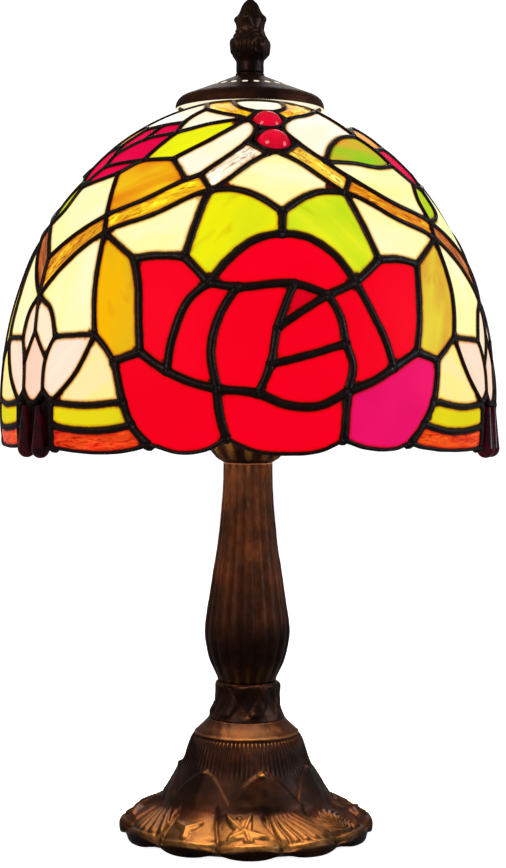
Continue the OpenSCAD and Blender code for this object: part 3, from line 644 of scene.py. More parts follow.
def shrunk(outline, gap):
    """A flat outline moved inwards by a gap."""
    ahead = unit_rows(np.roll(outline, -1, 0) - outline)
    area = np.sum(outline[:, 0] * np.roll(outline[:, 1], -1) - outline[:, 1] * np.roll(outline[:, 0], -1))
    inward = np.stack([-ahead[:, 1], ahead[:, 0]], 1) * np.sign(area)
    before = np.roll(inward, 1, 0)
    return outline + gap * (before + inward) / np.maximum(0.5, 1 + np.sum(before * inward, 1))[:, None]


def edge_distance(points, outline, halves=0.0):
    """Distance of flat points from the nearest side of an outline, less half that side's bead, and whether they
    are inside it."""
    a, b = outline, np.roll(outline, -1, 0)
    side = b - a
    t = np.clip(np.einsum("pij,ij->pi", points[:, None] - a, side) / np.maximum(1e-9, (side ** 2).sum(1)), 0, 1)
    near = (np.linalg.norm(points[:, None] - (a + t[..., None] * side), axis=2) - halves).min(1)
    straddles = (a[:, 1] > points[:, None, 1]) != (b[:, 1] > points[:, None, 1])
    slope = np.where(np.abs(side[:, 1]) < 1e-9, 1e-9, side[:, 1])
    cross = a[:, 0] + (points[:, None, 1] - a[:, 1]) * side[:, 0] / slope
    inside = (straddles & (points[:, None, 0] < cross)).sum(1) % 2 == 1
    return near, inside


def lifted(flat, middle, long_axis, short_axis, normal):
    """Points of a pane's plane moved along its normal onto the dome."""
    points = middle + flat[:, :1] * long_axis + flat[:, 1:] * short_axis
    p, n = points * DOME_SCALE, normal * DOME_SCALE
    a, b, c = n @ n, p @ n, (p * p).sum(1) - 1
    return points + ((-b + np.sqrt(np.maximum(0, b * b - a * c))) / a)[:, None] * normal


def fill(outline, step, rng):
    """Triangles that fill a flat outline, with points inside it about a step apart."""
    row, jitter, clear = 0.87, 0.12, 0.55
    low, high = outline.min(0), outline.max(0)
    xs, ys = np.meshgrid(np.arange(low[0], high[0], step), np.arange(low[1], high[1], step * row))
    xs[1::2] += step / 2
    grid = np.stack([xs.ravel(), ys.ravel()], 1) + rng.uniform(-jitter, jitter, (xs.size, 2)) * step
    near, inside = edge_distance(grid, outline)
    points = np.vstack([outline, grid[inside & (near > clear * step)]])
    flat, _, faces, *_ = delaunay_2d_cdt([Vector(p) for p in points], [], [list(range(len(outline)))], 1, 1e-5)
    return np.array([list(v) for v in flat]), [list(f) for f in faces]


def ripple(flat, strength, rng):
    """Long waves across a pane of rolled glass, a fraction of a millimetre high."""
    waves, whole = 5, 6.283
    height = np.zeros(len(flat))
    for _ in range(waves):
        pitch = rng.uniform(2.2, 6)
        lean = rng.uniform(-0.35, 0.35)
        phase = rng.uniform(0, 6.3)
        bend = np.sin(flat[:, 0] / rng.uniform(5, 11) + rng.uniform(0, 6.3))
        height += np.sin((flat[:, 1] + lean * flat[:, 0]) * whole / pitch + phase + 1.3 * bend)
    return strength * height / waves


def pane_shell(outline, halves, step, strength, rng, thick=GLASS_T):
    """Points, faces and streak coordinates of one pane, and each point's distance from the solder."""
    axes = flat_axes(outline)
    seam = np.stack([(outline - axes[0]) @ axes[1], (outline - axes[0]) @ axes[2]], 1)
    flat, faces = fill(shrunk(seam, PANE_GAP), step, rng)
    near = edge_distance(flat, seam, halves)[0]
    inner = lifted(flat, *axes)
    out = outward(inner)
    front = inner + out * (thick + ripple(flat, strength, rng)[:, None] * ease(-1, 1, near)[:, None])
    count = len(flat)
    back_faces = [[v + count for v in face[::-1]] for face in faces]
    rim = boundary_of(faces)
    walls = turned(woven(2, len(rim), 2 * count))
    verts = np.vstack([front, inner, front[rim], inner[rim]])
    keep = list(range(count)) * 2 + rim * 2
    return verts, faces + back_faces + walls, (flat + rng.uniform(-500, 500, 2))[keep], near[keep]


def boundary_of(faces):
    """The corners round a filled outline, in order."""
    ahead = {}
    for face in faces:
        for a, b in zip(face, face[1:] + face[:1]):
            ahead[(a, b)] = True
    follow = {a: b for a, b in ahead if (b, a) not in ahead}
    start = min(follow)
    rim = [start]
    while follow[rim[-1]] != start and len(rim) < len(follow):
        rim.append(follow[rim[-1]])
    return rim


def painted_bulb_glare(tint, points):
    """Painted light: the glass nearest the cap is painted paler, as a painted glare of the bulb behind it."""
    low, high, most = 252, 292, 0.55
    glare_share = ease(low, high, points[:, 2] + DOME_LEVEL)[:, None] * most
    pale = np.minimum(1, tint * 1.1 + 0.1)
    return tint + (pale - tint) * glare_share


def build_glass(seams, loops):
    for node, (_, slot, finish, _, tints) in GLASS.items():
        rng = np.random.default_rng(sum(map(ord, node)))
        step, strength = (1.1, 0.42) if finish == "rippled" else (2, 0.05)
        shells, flats, nears, tinted = Shells(), [], [], ([], [])
        for _, i, _, points in (row for row in loops if row[0] == node):
            verts, faces, flat, near = pane_shell(*seams.outline(points), step, strength, rng)
            shells.add(verts, faces)
            flats.append(flat)
            nears.append(near)
            for store, tint in zip(tinted, linear(tints[i % len(tints)])):
                colour = np.repeat(tint[None], len(verts), 0)
                # Opal panes near the cap get a painted glare of the bulb
                store.append(painted_bulb_glare(colour, verts) if finish == "milky" else colour)
        piece = shells.piece(node + "_panes", GLASS_FINISHES[finish], slot, node)
        for name, store in zip(("tint", "second_tint"), tinted):
            add_values(piece, name, "FLOAT_COLOR", np.hstack([np.vstack(store), np.ones((shells.count, 1))]))
        add_values(piece, "seam_gap", "FLOAT", np.concatenate(nears))
        layer = piece.data.uv_layers.new(name="streaks")
        corners = np.zeros(len(piece.data.loops), int)
        piece.data.loops.foreach_get("vertex_index", corners)
        layer.data.foreach_set("uv", (np.vstack(flats) / 100)[corners].ravel())


# ---- Solder ----

# Sides of a bead of solder
BEAD_SIDES = 10


def seam_height(share):
    """Height of the solder's surface over the glass's inner face, from -1 at its inside to 1 at its crest."""
    proud, sunk = 2.5, 1.75
    return GLASS_T / 2 + (proud if share > 0 else sunk) * share


def bead(points, half, rng, flare=0.5):
    """Points and faces of a bead of solder along a seam, thicker where it meets others at its ends."""
    swell = 2.2
    tangent = unit_rows(np.gradient(points, axis=0))
    up = outward(points)
    side = np.cross(tangent, up)
    along = lengths(points)
    ends = 1 + flare * (np.exp(-along / swell) + np.exp(-(along[-1] - along) / swell))
    lumps = 1 + 0.05 * np.sin(along * rng.uniform(0.5, 0.9) + rng.uniform(0, 6.3))
    width = (half * ends * lumps)[:, None]
    angles = np.linspace(0, 2 * math.pi, BEAD_SIDES, endpoint=False)
    rings = [points + up * seam_height(math.sin(a)) + side * width * math.cos(a) for a in angles]
    last = (len(points) - 1) * BEAD_SIDES
    ends = [list(range(BEAD_SIDES))[::-1], [last + k for k in range(BEAD_SIDES)]]
    return np.stack(rings, 1).reshape(-1, 3), woven(len(points), BEAD_SIDES) + ends


def dome_axes(point):
    """Level, rising and outward unit directions at a point of the dome."""
    up = outward(point[None])[0]
    across = np.cross(up, [0, 0, 1.0])
    across = across / np.linalg.norm(across)
    return across, np.cross(up, across), up


def blob(corner, half):
    """A flattened ball of solder over a junction."""
    across, ahead, up = dome_axes(corner)
    rows = 6
    verts = [corner + up * seam_height(1)]
    for i in range(1, rows):
        polar = math.pi * i / rows
        for k in range(BEAD_SIDES):
            a = 2 * math.pi * k / BEAD_SIDES
            flat = math.sin(polar) * half * (math.cos(a) * across + math.sin(a) * ahead)
            verts.append(corner + up * seam_height(math.cos(polar)) + flat)
    verts.append(corner + up * seam_height(-1))
    last, base = len(verts) - 1, 1 + (rows - 2) * BEAD_SIDES
    top = [[0, 1 + k, 1 + (k + 1) % BEAD_SIDES] for k in range(BEAD_SIDES)]
    bottom = [[last, base + (k + 1) % BEAD_SIDES, base + k] for k in range(BEAD_SIDES)]
    return np.array(verts), top + turned(woven(rows - 1, BEAD_SIDES, 1)) + bottom


def build_solder(seams, loops):
    rng = np.random.default_rng(7)
    blob_share, sheet_step, sheet_relief, ring_gap, ring_half = 1.4, 1.6, 0.25, 0.3, 0.8
    shells = Shells()
    widest = {}
    for run in seams.runs():
        curves = [seams.curve(a, b) for a, b in zip(run, run[1:])]
        halves = [seams.half_width(a, b) for a, b in zip(run, run[1:])]
        points = np.vstack([curve[:-1] for curve in curves] + [curves[-1][-1:]])
        half = np.concatenate([np.full(len(c) - 1, h) for c, h in zip(curves, halves)] + [halves[-1:]])
        for _ in range(4):
            half = np.convolve(np.pad(half, 1, mode="edge"), [0.25, 0.5, 0.25], mode="valid")
        shells.add(*bead(points, half, rng))
        for corner, end in ((run[0], halves[0]), (run[-1], halves[-1])):
            widest[corner] = max(end, widest.get(corner, 0))
    for corner, half in sorted(widest.items()):
        shells.add(*blob(np.array(corner), half * blob_share))
    for _, _, _, points in (row for row in loops if row[0] == "solder"):
        shells.add(*pane_shell(*seams.outline(points), sheet_step, sheet_relief, rng, SHEET_T)[:2])
    angle = np.linspace(0, 2 * math.pi, 41)[:, None]
    for place, radius in ROUND_STONES:
        for repeat in range(REPEATS):
            middle = to_dome(np.array([ray(spread(place, repeat))]))[0]
            across, ahead, _ = dome_axes(middle)
            circle = middle + (radius + ring_gap) * (np.cos(angle) * across + np.sin(angle) * ahead)
            shells.add(*bead(to_dome(circle), np.full(len(circle), ring_half), rng, 0))
    shells.piece("solder_seams", solder_material(), "solder", "solder_lattice")


# ---- Castings ----

# The turn that the castings' motifs are counted from, and the least height of a casting's outside
FRONT = -7.0
LEAST_HEIGHT = 0.3


def rounded(points, passes=2):
    """Cuts the corners of a line of points, so that it turns smoothly and stays inside its corners."""
    points = np.array(points, float)
    for _ in range(passes):
        near = 0.75 * points[:-1] + 0.25 * points[1:]
        far = 0.25 * points[:-1] + 0.75 * points[1:]
        points = np.vstack([points[:1], np.stack([near, far], 1).reshape(-1, 2), points[-1:]])
    return points


def spaced(points, step):
    """Points at even distances along a line."""
    along = lengths(points)
    marks = np.linspace(0, along[-1], round(along[-1] / step) + 1)
    return np.stack([np.interp(marks, along, points[:, k]) for k in (0, 1)], 1)


def casting(name, material, outer, inner, step, turns, relief, node, body="base", lift=None):
    """A casting turned round Z from its outer and inner outlines, [radius, height], listed up the outside and down
    the inside. relief(turn, radius, height) gives how far the outside stands proud and how much it is turned gold,
    by rubbed wear and painted lamplight, or darkened where that is below 0, on the foot as painted shade, and lift
    gives how far it is raised."""
    skin = spaced(rounded(outer), step)
    profile = np.vstack([skin, np.array(inner, float).reshape(-1, 2)])
    slope = unit_rows(np.gradient(skin, axis=0))
    turn = np.arange(turns) * 360.0 / turns
    proud, rub_and_painted_light = relief(turn[None, :], skin[:, :1], skin[:, 1:])
    radius = np.repeat(profile[:, :1], turns, 1)
    height = np.repeat(profile[:, 1:], turns, 1)
    radius[:len(skin)] = np.maximum(0, radius[:len(skin)] + slope[:, 1:] * proud)
    height[:len(skin)] = np.maximum(LEAST_HEIGHT, height[:len(skin)] - slope[:, :1] * proud)
    if lift is not None:
        height[:len(skin)] += lift(turn[None, :], skin[:, :1], height[:len(skin)])
    angle = np.radians(turn)
    verts = np.stack([radius * np.sin(angle), -radius * np.cos(angle), height], 2).reshape(-1, 3)
    faces = woven(len(profile), turns, closed=len(inner) > 0)
    piece = new_piece(name, verts, faces, material, body, [node])
    rub_and_light_values = np.zeros(radius.shape)
    rub_and_light_values[:len(skin)] = rub_and_painted_light
    add_values(piece, "rub_and_painted_light", "FLOAT", rub_and_light_values)


def uneven(turn, height, size=0.1):
    """Slow unevenness of a sand casting's surface."""
    a = np.radians(turn)
    waves = np.sin(5 * a + 0.31 * height) + np.sin(11 * a - 0.47 * height + 2) + np.sin(23 * a + 0.9 * height + 4)
    return size * waves / 3


def star(across, along, reach, arms):
    """A star of pointed arms, each with a ridge along its middle, round a small bead."""
    rho = np.hypot(across, along)
    turn = wrap(np.degrees(np.arctan2(across, along)), 360 / arms)
    side = rho * np.abs(np.sin(np.radians(turn)))
    share = np.clip(rho / reach, 0, 1)
    width = 0.66 * reach * share ** 0.6 * (1 - share)
    arm = ease(width + 0.4, width - 0.3, side) * (share < 1)
    return arm * (0.7 + 0.6 * hill(side, 0.5)) + 0.4 * hill(rho, 1.2)


def lobe_motifs(kind, across, radius):
    """What stands on each kind of lobe of the skirt: a star, a shell, curved arms or a leaf's veins."""
    middle_r, bead_r, hinge_r, leaf_half = 44.5, 37, 27, 9
    out = radius - middle_r
    bead = 1.5 * hill(np.hypot(across, radius - bead_r), 1.0)
    flower = star(across, 0.8 * (out + 1), 8.4, 5) + bead
    fan = np.degrees(np.arctan2(across + 2, radius - hinge_r))
    shell = 1.2 * (np.abs(np.cos(np.radians(fan * 16))) ** 0.7 - 0.45) * ease(34, 40, radius)
    rho = np.hypot(across, out)
    bent = np.degrees(np.arctan2(across, out)) + 13 * rho
    swirl = 0.95 * hill(wrap(bent, 30) / 15, 0.42) * ease(8.6, 6.5, rho) * ease(0.6, 2, rho)
    leaf = np.where(np.abs(across) < leaf_half, star(across + 1.2, out + 0.5, 8.2, 3), 0)
    return np.choose(kind, [flower, shell, swirl, flower, shell, leaf])


def foot_relief(turn, radius, height):
    """Lobes round the skirt with a motif on each, then leaves and fine ribs up the bell to its ring."""
    lobes, kinds, ribs, leaves = 12, 6, 84, 7
    ring_z, leaf_top, tip_z = 41, 28.3, 27.8
    a = wrap(turn - FRONT)
    lobe_turn = 360 / lobes
    bent = a + 6 * ease(50, 34, radius)
    lobe = np.round(bent / lobe_turn)
    off = bent - lobe * lobe_turn
    share = off / (lobe_turn / 2)
    across = radius * np.radians(off)
    skirt = ease(31.5, 38, radius) * ease(3, 4.6, height)
    petal = skirt * (1.3 * (1 - share ** 2) + 0.6 * share - 0.9)
    notch = -2.8 * np.abs(share) ** 2.6 * ease(46, 51, radius)
    lip_place = 50.6 - 2 * np.abs(share) ** 2.6
    lip = 0.45 * hill(radius - lip_place, 0.55) * ease(3.4, 4.6, height)
    crease = -0.6 * hill((np.abs(share) - 1) * radius * np.radians(lobe_turn / 2), 0.6) * skirt
    motif = skirt * ease(50, 48.5, radius) * lobe_motifs((lobe % kinds).astype(int), across, radius)

    # Leaves round the bell's foot with curled tips, between fine ribs that hang from a ring
    leaf = np.abs(wrap(a - 12, 360 / leaves)) / (180 / leaves)
    arch = leaf_top - 11 * leaf ** 1.9
    on_bell = ease(14, 17, height) * ease(31, 29.5, height)
    raised = 0.7 * ease(arch + 1.3, arch - 1.3, height) * on_bell
    fold = 0.35 * hill(leaf * 5, 0.9) * ease(arch, arch - 3, height) * on_bell
    side = np.hypot(radius * np.radians(leaf * 180 / leaves) * 0.62, height - tip_z + 14 * leaf ** 2)
    tip = 1.0 * hill(side, 1.1)
    rib_share = ease(25, 31, height) * ease(40.3, 39.4, height) * (1 - 0.9 * ease(arch, arch - 1, height))
    rib = (0.17 + 0.2 * ease(36, 39.5, height)) * np.cos(np.radians(ribs * a)) * rib_share
    ring = 0.4 * hill(height - ring_z, 0.55) - 0.35 * hill(height - (ring_z - 1), 0.4)
    detail = motif + raised + fold + tip + rib + ring + lip

    # Gold is partly rubbed wear on the raised edges and the lip, and partly painted lamplight: painted highlights
    # on the front of
    #     # the skirt, on the raised edges there, on the curled tips and rib tops at the front, and along the ring
    #     and the cone
    #     # above it, where it is also rubbed. The bell and the low wall under the lip are darkened as painted
    #     shade.
    front_light = hill(wrap(a + 4) / 60, 0.8)
    on_top = ease(3.2, 4.6, height)
    high = 0.45 * ease(0.35, 1.1, motif) + 0.8 * hill(radius - lip_place, 0.5) * on_top
    skirt_lamplight = 0.56 * ease(29, 44, radius) * on_top * front_light
    curl_highlight = 0.95 * ease(0.45, 0.95, tip) * hill(wrap(a) / 60, 1)
    cone_highlight = 0.12 * ease(ring_z, ring_z + 2, height) * ease(ring_z + 5, ring_z + 3, height)
    ring_rub_and_highlight = 0.65 * hill(height - (ring_z + 0.1), 0.35) + cone_highlight
    rib_highlight = 0.8 * ease(36.5, 39.3, height) * ease(0, 0.3, rib) * hill(wrap(a) / 60, 1)
    # Painted shade: the bell and the low wall under the skirt's lip are darkened
    dark = 0.6 * ease(10, 19, height) * ease(41, 39.5, height) + 0.6 * ease(4.4, 3, height)
    rub_and_painted_light = high * (0.3 + 0.7 * front_light) + skirt_lamplight + curl_highlight + ring_rub_and_highlight + rib_highlight - dark * (1 - rib_highlight - curl_highlight)
    return detail + petal + notch + crease + uneven(turn, height), np.clip(rub_and_painted_light, -1, 1)


def cord_boss(turn, radius, height):
    """The round boss at the back that the cord's bush stands in."""
    middle, boss_r, lip = 15.5, 6.3, 43
    across = radius * np.radians(wrap(turn - 180))
    top = middle + np.sqrt(np.maximum(0, boss_r ** 2 - across ** 2))
    return np.maximum(0, top - height) * (np.abs(across) < boss_r) * ease(lip + 0.2, lip - 0.6, radius)


def collar_relief(turn, radius, height):
    """Leaves that cross each other round the neck, rubbed at a few of their tips."""
    low, high, knot_z, tip_z = 47.5, 61.8, 50, 49.6
    a = wrap(turn - FRONT)
    wound = np.abs(np.sin(np.radians(2.5 * (a + 3.2 * (height - knot_z)))))
    crossed = np.abs(np.sin(np.radians(3.5 * (a - 2.6 * (height - knot_z)) + 40)))
    middle = ease(low, low + 2, height) * ease(high, high - 1.4, height)
    leaves = middle * (0.95 * wound ** 0.6 - 0.7 + 0.65 * ease(0.6, 1, crossed))
    tips = 0.6 * hill(np.hypot(wrap(a - 8, 72) * 0.24, height - tip_z), 1.1)
    rub_and_painted_light = 0.5 * middle * hill(wound - 1, 0.05) * ease(0.7, 1, crossed) + 1.1 * tips - 0.6
    return leaves + tips + uneven(turn, height), np.clip(rub_and_painted_light, -1, 1)


def stem_relief(turn, radius, height):
    """Round ribs with thin dark grooves between them, which close below the belly and under the cup."""
    flutes = 18
    round_rib = np.abs(np.cos(np.radians(flutes / 2 * wrap(turn - FRONT)))) ** 0.5
    depth = 1.15 * ease(63, 70, height) * (1 - 0.45 * ease(100, 150, height)) * ease(151.6, 149, height)
    rub_and_painted_light = 0.25 * ease(0.8, 1, round_rib) * ease(76, 66, height) + 0.08 * ease(0.8, 1, round_rib)
    rub_and_painted_light = rub_and_painted_light - 0.45 * ease(112, 88, height) * ease(66, 76, height)
    return depth * (round_rib - 0.9) + uneven(turn, height, 0.06), np.clip(rub_and_painted_light, -1, 1)


def cup_relief(turn, radius, height):
    """Leaves round the cup, with a rib up the middle of each."""
    leaves = 12
    a = wrap(turn - FRONT)
    leaf = np.abs(np.cos(np.radians(leaves / 2 * a)))
    body = ease(10.8, 12.5, radius) * ease(161.4, 160, height)
    rib = 0.3 * hill(wrap(a, 360 / leaves) * np.radians(radius), 0.6)
    return body * (0.8 * leaf ** 0.6 - 0.6 + rib), np.clip(0.6 * body * ease(0.55, 1, leaf), 0, 1)


def finial_relief(turn, radius, height):
    """Four scrolled bosses, a leaf that rises between each two, and buds at the leaves' tips."""
    first_turn, quarter, boss_z, bud_z = 27, 90, 321.3, 332.6
    boss = wrap(turn - FRONT - first_turn, quarter)
    leaf = wrap(boss - quarter / 2, quarter)
    rho = np.hypot(radius * np.radians(boss), (height - boss_z) * 0.9)
    scroll = 0.9 * hill(rho, 2.1) + 0.4 * np.abs(np.cos(rho * 2.1)) * ease(2, 2.6, rho) * ease(7.4, 6, rho)
    scroll = scroll * ease(316.5, 319, height) * ease(331, 327, height)
    width = 4.2 * ease(338, 322, height) * ease(314.5, 319, height)
    side = np.abs(radius * np.radians(leaf))
    edge = 0.45 * hill(side - width, 0.55) * ease(315, 318, height) * ease(337, 333, height)
    bud = 1.3 * hill(np.hypot(radius * np.radians(leaf), height - bud_z), 1.5)
    lines = 0.22 * np.abs(np.cos(np.radians(5 * turn))) * ease(333, 336, height) * ease(341, 339, height)
    rub_and_painted_light = 0.05 * ease(0.4, 1, scroll + bud + edge)
    return scroll + edge + bud + lines + uneven(turn, height, 0.05) - 0.35, rub_and_painted_light


# What casting() is told of each casting: its outlines, the step along the outside, the points round it, its relief
# and the node it replaces, and, where they differ, its body and what lifts it
CASTINGS = {
    "foot_bell": ([
        [45.2, 0.3], [51.4, 0.3], [52, 0.4], [52.3, 1.6], [52.4, 3.4], [51.6, 4.8], [50, 5.9], [48, 7], [45, 8.4],
        [41, 10.2], [37, 12.4], [33.8, 15.6], [31.3, 19.4], [28.9, 23.8], [27, 27.1], [25.4, 30.6], [24.5, 33.9],
        [23.3, 37.2], [21.7, 40], [21.1, 41.3], [19.4, 43.2], [18, 44.4], [16.4, 46], [15.8, 46.8]
    ], [
        [5.3, 46.8], [5.3, 36.4], [19.6, 36.4], [21.8, 30.4], [23.6, 26], [25.6, 22.4], [28.2, 17.2], [31, 12.4],
        [35.2, 8.8], [40, 6.6], [45.2, 4.2]
    ], 0.6, 720, foot_relief, "foot_casting", "base", cord_boss),
    "collar_leaves": ([
        [15.7, 46.85], [15.6, 47.4], [14.6, 49.2], [13.7, 51.6], [13, 54.6], [12.8, 57.4], [13.1, 60],
        [12.9, 61.4], [12, 62]
    ], [[5.3, 62], [5.3, 46.85]], 0.4, 360, collar_relief, "neck_collar"),
    "stem_baluster": ([
        [11.9, 62.1], [12.3, 63.6], [13.7, 66.7], [15.2, 70], [16.2, 73.3], [16.9, 76.5], [17.5, 80], [17.6, 83],
        [17.3, 86.4], [16.8, 90], [15.5, 98], [13.9, 109], [12.6, 116], [11.5, 126], [10.7, 135], [10.2, 143],
        [10.1, 151.9]
    ], [[5.3, 151.9], [5.3, 62.1]], 0.8, 432, stem_relief, "stem_casting"),
    "cup_leaves": ([
        [10.2, 152], [10.8, 152.2], [12.2, 153.6], [14.6, 156.2], [16.4, 159.2], [17.1, 161.75]
    ], [
        [16.1, 161.75], [15, 159.6], [13.4, 157.4], [5.3, 157.4], [5.3, 152]
    ], 0.35, 360, cup_relief, "drip_cup"),
    "finial_bud": ([
        [3.3, 310.45], [5.7, 310.45], [6, 311.2], [6, 313], [5.9, 315.4], [6.9, 317.2], [7.8, 319.2],
        [8.2, 321.8], [7.8, 324], [6.3, 326.2], [5.6, 328.3], [5.8, 330.4], [6, 332.4], [5.2, 334.2], [4.3, 336.4],
        [3.5, 338.6], [1.6, 341], [0.02, 341.7]
    ], [], 0.28, 288, finial_relief, "finial", "finial"),
}


# ---- Materials ----

class Paint:
    """A material with one Principled shader, and short calls that add nodes to it."""

    def __init__(self, name, values):
        self.material = bpy.data.materials.new(name)
        self.material.use_nodes = True
        self.tree = self.material.node_tree
        self.shader = self.tree.nodes["Principled BSDF"]
        self.fill(self.shader, values)

    def fill(self, node, values):
        for key, value in values.items():
            if isinstance(value, bpy.types.NodeSocket):
                self.tree.links.new(value, node.inputs[key])
            else:
                node.inputs[key].default_value = value

    def add(self, kind, values, **settings):
        node = self.tree.nodes.new("ShaderNode" + kind)
        for key, value in settings.items():
            setattr(node, key, value)
        self.fill(node, values)
        return node

    def value(self, name):
        return self.add("Attribute", {}, attribute_name=name).outputs["Fac"]

    def colour(self, name):
        return self.add("Attribute", {}, attribute_name=name).outputs["Color"]

    def stretched(self, vector, scale):
        return self.add("Mapping", {"Vector": vector, "Scale": scale}).outputs["Vector"]

    def place(self, kind="Object", scale=(1, 1, 1)):
        return self.stretched(self.add("TexCoord", {}).outputs[kind], scale)

    def noise(self, vector, scale, detail=3.0, rough=0.5, distortion=0.0):
        values = {"Vector": vector, "Scale": scale, "Detail": detail, "Roughness": rough, "Distortion": distortion}
        return self.add("TexNoise", values).outputs["Fac"]

    def maths(self, operation, a, b):
        return self.add("Math", {0: a, 1: b}, operation=operation).outputs[0]

    def spread(self, value, low, high, bottom=0.0, top=1.0):
        values = {"Value": value, "From Min": low, "From Max": high, "To Min": bottom, "To Max": top}
        return self.add("MapRange", values).outputs["Result"]

    def mix(self, share, a, b, blend="MIX"):
        node = self.add("Mix", {0: share, 6: a, 7: b}, data_type="RGBA", blend_type=blend)
        return node.outputs[2]

    def ramp(self, value, stops):
        node = self.add("ValToRGB", {"Fac": value})
        elements = node.color_ramp.elements
        while len(elements) < len(stops):
            elements.new(0.5)
        for element, (position, colour) in zip(elements, stops):
            element.position = position
            element.color = screen(*colour)
        return node.outputs["Color"]

    def bump(self, height, distance, strength=1.0):
        node = self.add("Bump", {"Height": height, "Distance": distance * MM, "Strength": strength})
        self.fill(self.shader, {"Normal": node.outputs["Normal"]})

    def done(self, **links):
        self.fill(self.shader, {key.replace("_", " "): value for key, value in links.items()})
        return self.material


def screen(red, green, blue):
    """A screen colour, up to 255, as the linear colour that a socket takes."""
    return (*linear((red, green, blue)).tolist(), 1.0)


def lit_glass(name, tint_of, gloss, specular, relief, glow):
    """Glass lit from inside, in two tints. It turns warm and then dark red where it meets the solder."""
    paint = Paint(name, {"Roughness": gloss, "Specular IOR Level": specular, "Emission Strength": glow})
    tint = tint_of(paint, paint.place("UV"), paint.colour("tint"), paint.colour("second_tint"))
    wander = paint.spread(paint.noise(paint.place(), 260, 2.0), 0.3, 0.7, -0.12, 0.12)
    gap = paint.maths("ADD", paint.value("seam_gap"), wander)
    warm = paint.mix(1.0, tint, screen(238, 190, 128), "MULTIPLY")
    tint = paint.mix(paint.spread(gap, 0.15, 1.0), warm, tint)
    tint = paint.mix(paint.spread(gap, -0.25, 0.25), screen(70, 16, 8), tint)
    paint.bump(paint.noise(paint.place(), relief[0], 2.0), relief[1])
    body = paint.mix(1.0, tint, (0.1, 0.1, 0.1, 1), "MULTIPLY")
    return paint.done(Base_Color=body, Emission_Color=tint)


def calm_tint(paint, streaks, first, second):
    """Even cathedral glass, with slow clouds."""
    return paint.mix(paint.spread(paint.noise(streaks, 2.6, 2.0), 0.35, 0.72), first, second)


def milky_tint(paint, streaks, first, second):
    """Opal glass, with pale clouds drawn out one way."""
    drawn = paint.stretched(streaks, (1.4, 4.2, 1))
    return paint.mix(paint.spread(paint.noise(drawn, 1.8, 3.0, 0.55, 0.6), 0.34, 0.68), first, second)


def streaky_tint(paint, streaks, first, second):
    """Two colours in soft clouds drawn out along the leaf, with a fleck of amber here and there."""
    drawn = paint.stretched(streaks, (1.2, 3.6, 1))
    tint = paint.mix(paint.spread(paint.noise(drawn, 2.2, 2.0, 0.5, 0.3), 0.36, 0.66), first, second)
    flecks = paint.spread(paint.noise(drawn, 4.6, 2.0, 0.5, 0.4), 0.6, 0.78, 0.0, 0.4)
    return paint.mix(flecks, tint, screen(214, 120, 40), "MULTIPLY")


def rippled_tint(paint, streaks, first, second):
    """Rolled glass whose ripples gather the light into pale flecks and burnt streaks."""
    drawn = paint.stretched(streaks, (2.2, 11, 1))
    tint = paint.mix(paint.spread(paint.noise(drawn, 2.7, 4.0, 0.62, 1.2), 0.36, 0.64), first, second)
    pale = paint.spread(paint.noise(drawn, 3.4, 3.0, 0.6, 1.6), 0.55, 0.64, 0.0, 0.8)
    tint = paint.mix(pale, tint, (1.5, 2.0, 3.4, 1), "MULTIPLY")
    burnt = paint.spread(paint.noise(drawn, 4.4, 3.0, 0.6, 2.0), 0.53, 0.64, 0.0, 0.9)
    return paint.mix(burnt, tint, screen(190, 96, 24), "MULTIPLY")


def solder_material():
    paint = Paint("patina_solder", {"Metallic": 0.2, "Specular IOR Level": 0.25})
    place = paint.place()
    cloud = paint.noise(place, 90, 4.0, 0.6)
    fine = paint.noise(place, 700, 3.0, 0.6)
    colour = paint.ramp(cloud, [(0.3, (20, 9, 6)), (0.55, (34, 16, 11)), (0.75, (46, 26, 22))])
    rough = paint.spread(fine, 0.3, 0.7, 0.34, 0.55)
    paint.bump(paint.maths("ADD", cloud, paint.maths("MULTIPLY", fine, 0.35)), 0.35)
    return paint.done(Base_Color=colour, Roughness=rough)


def bronze_colour(paint, place, fine, dark):
    """Brown patina over bronze, turned to gold where the rub value is above 0 and near black where it is below;
    that value holds rubbed wear as well as painted lamplight and painted shade.
    """
    cloud = paint.noise(place, 55, 5.0, 0.62)
    patina = paint.ramp(cloud, [(0.32, (30, 15, 11)), (0.5, (54, 28, 17)), (0.7, (84, 45, 25))])
    patina = paint.mix(1.0, patina, dark, "MULTIPLY")
    # Below 0 the patina is darkened, on the foot as painted shade
    darkening = paint.spread(paint.value("rub_and_painted_light"), 0.0, -1.0)
    patina = paint.mix(darkening, patina, (0.3, 0.3, 0.32, 1), "MULTIPLY")
    gold = paint.ramp(fine, [(0.3, (120, 80, 40)), (0.7, (160, 114, 60))])
    gold_share = paint.maths("ADD", paint.value("rub_and_painted_light"), paint.spread(fine, 0.3, 0.7, -0.05, 0.05))
    paint.bump(paint.maths("ADD", fine, cloud), 0.1)
    return paint.mix(paint.spread(gold_share, 0.06, 0.95), patina, gold)


def bronze_material(name="antique_bronze", dark=(1, 1, 1, 1)):
    paint = Paint(name, {"Metallic": 0.8, "Specular IOR Level": 0.4})
    place = paint.place()
    fine = paint.noise(place, 520, 4.0, 0.65)
    colour = bronze_colour(paint, place, fine, dark)
    return paint.done(Base_Color=colour, Roughness=paint.spread(fine, 0.3, 0.7, 0.34, 0.5))


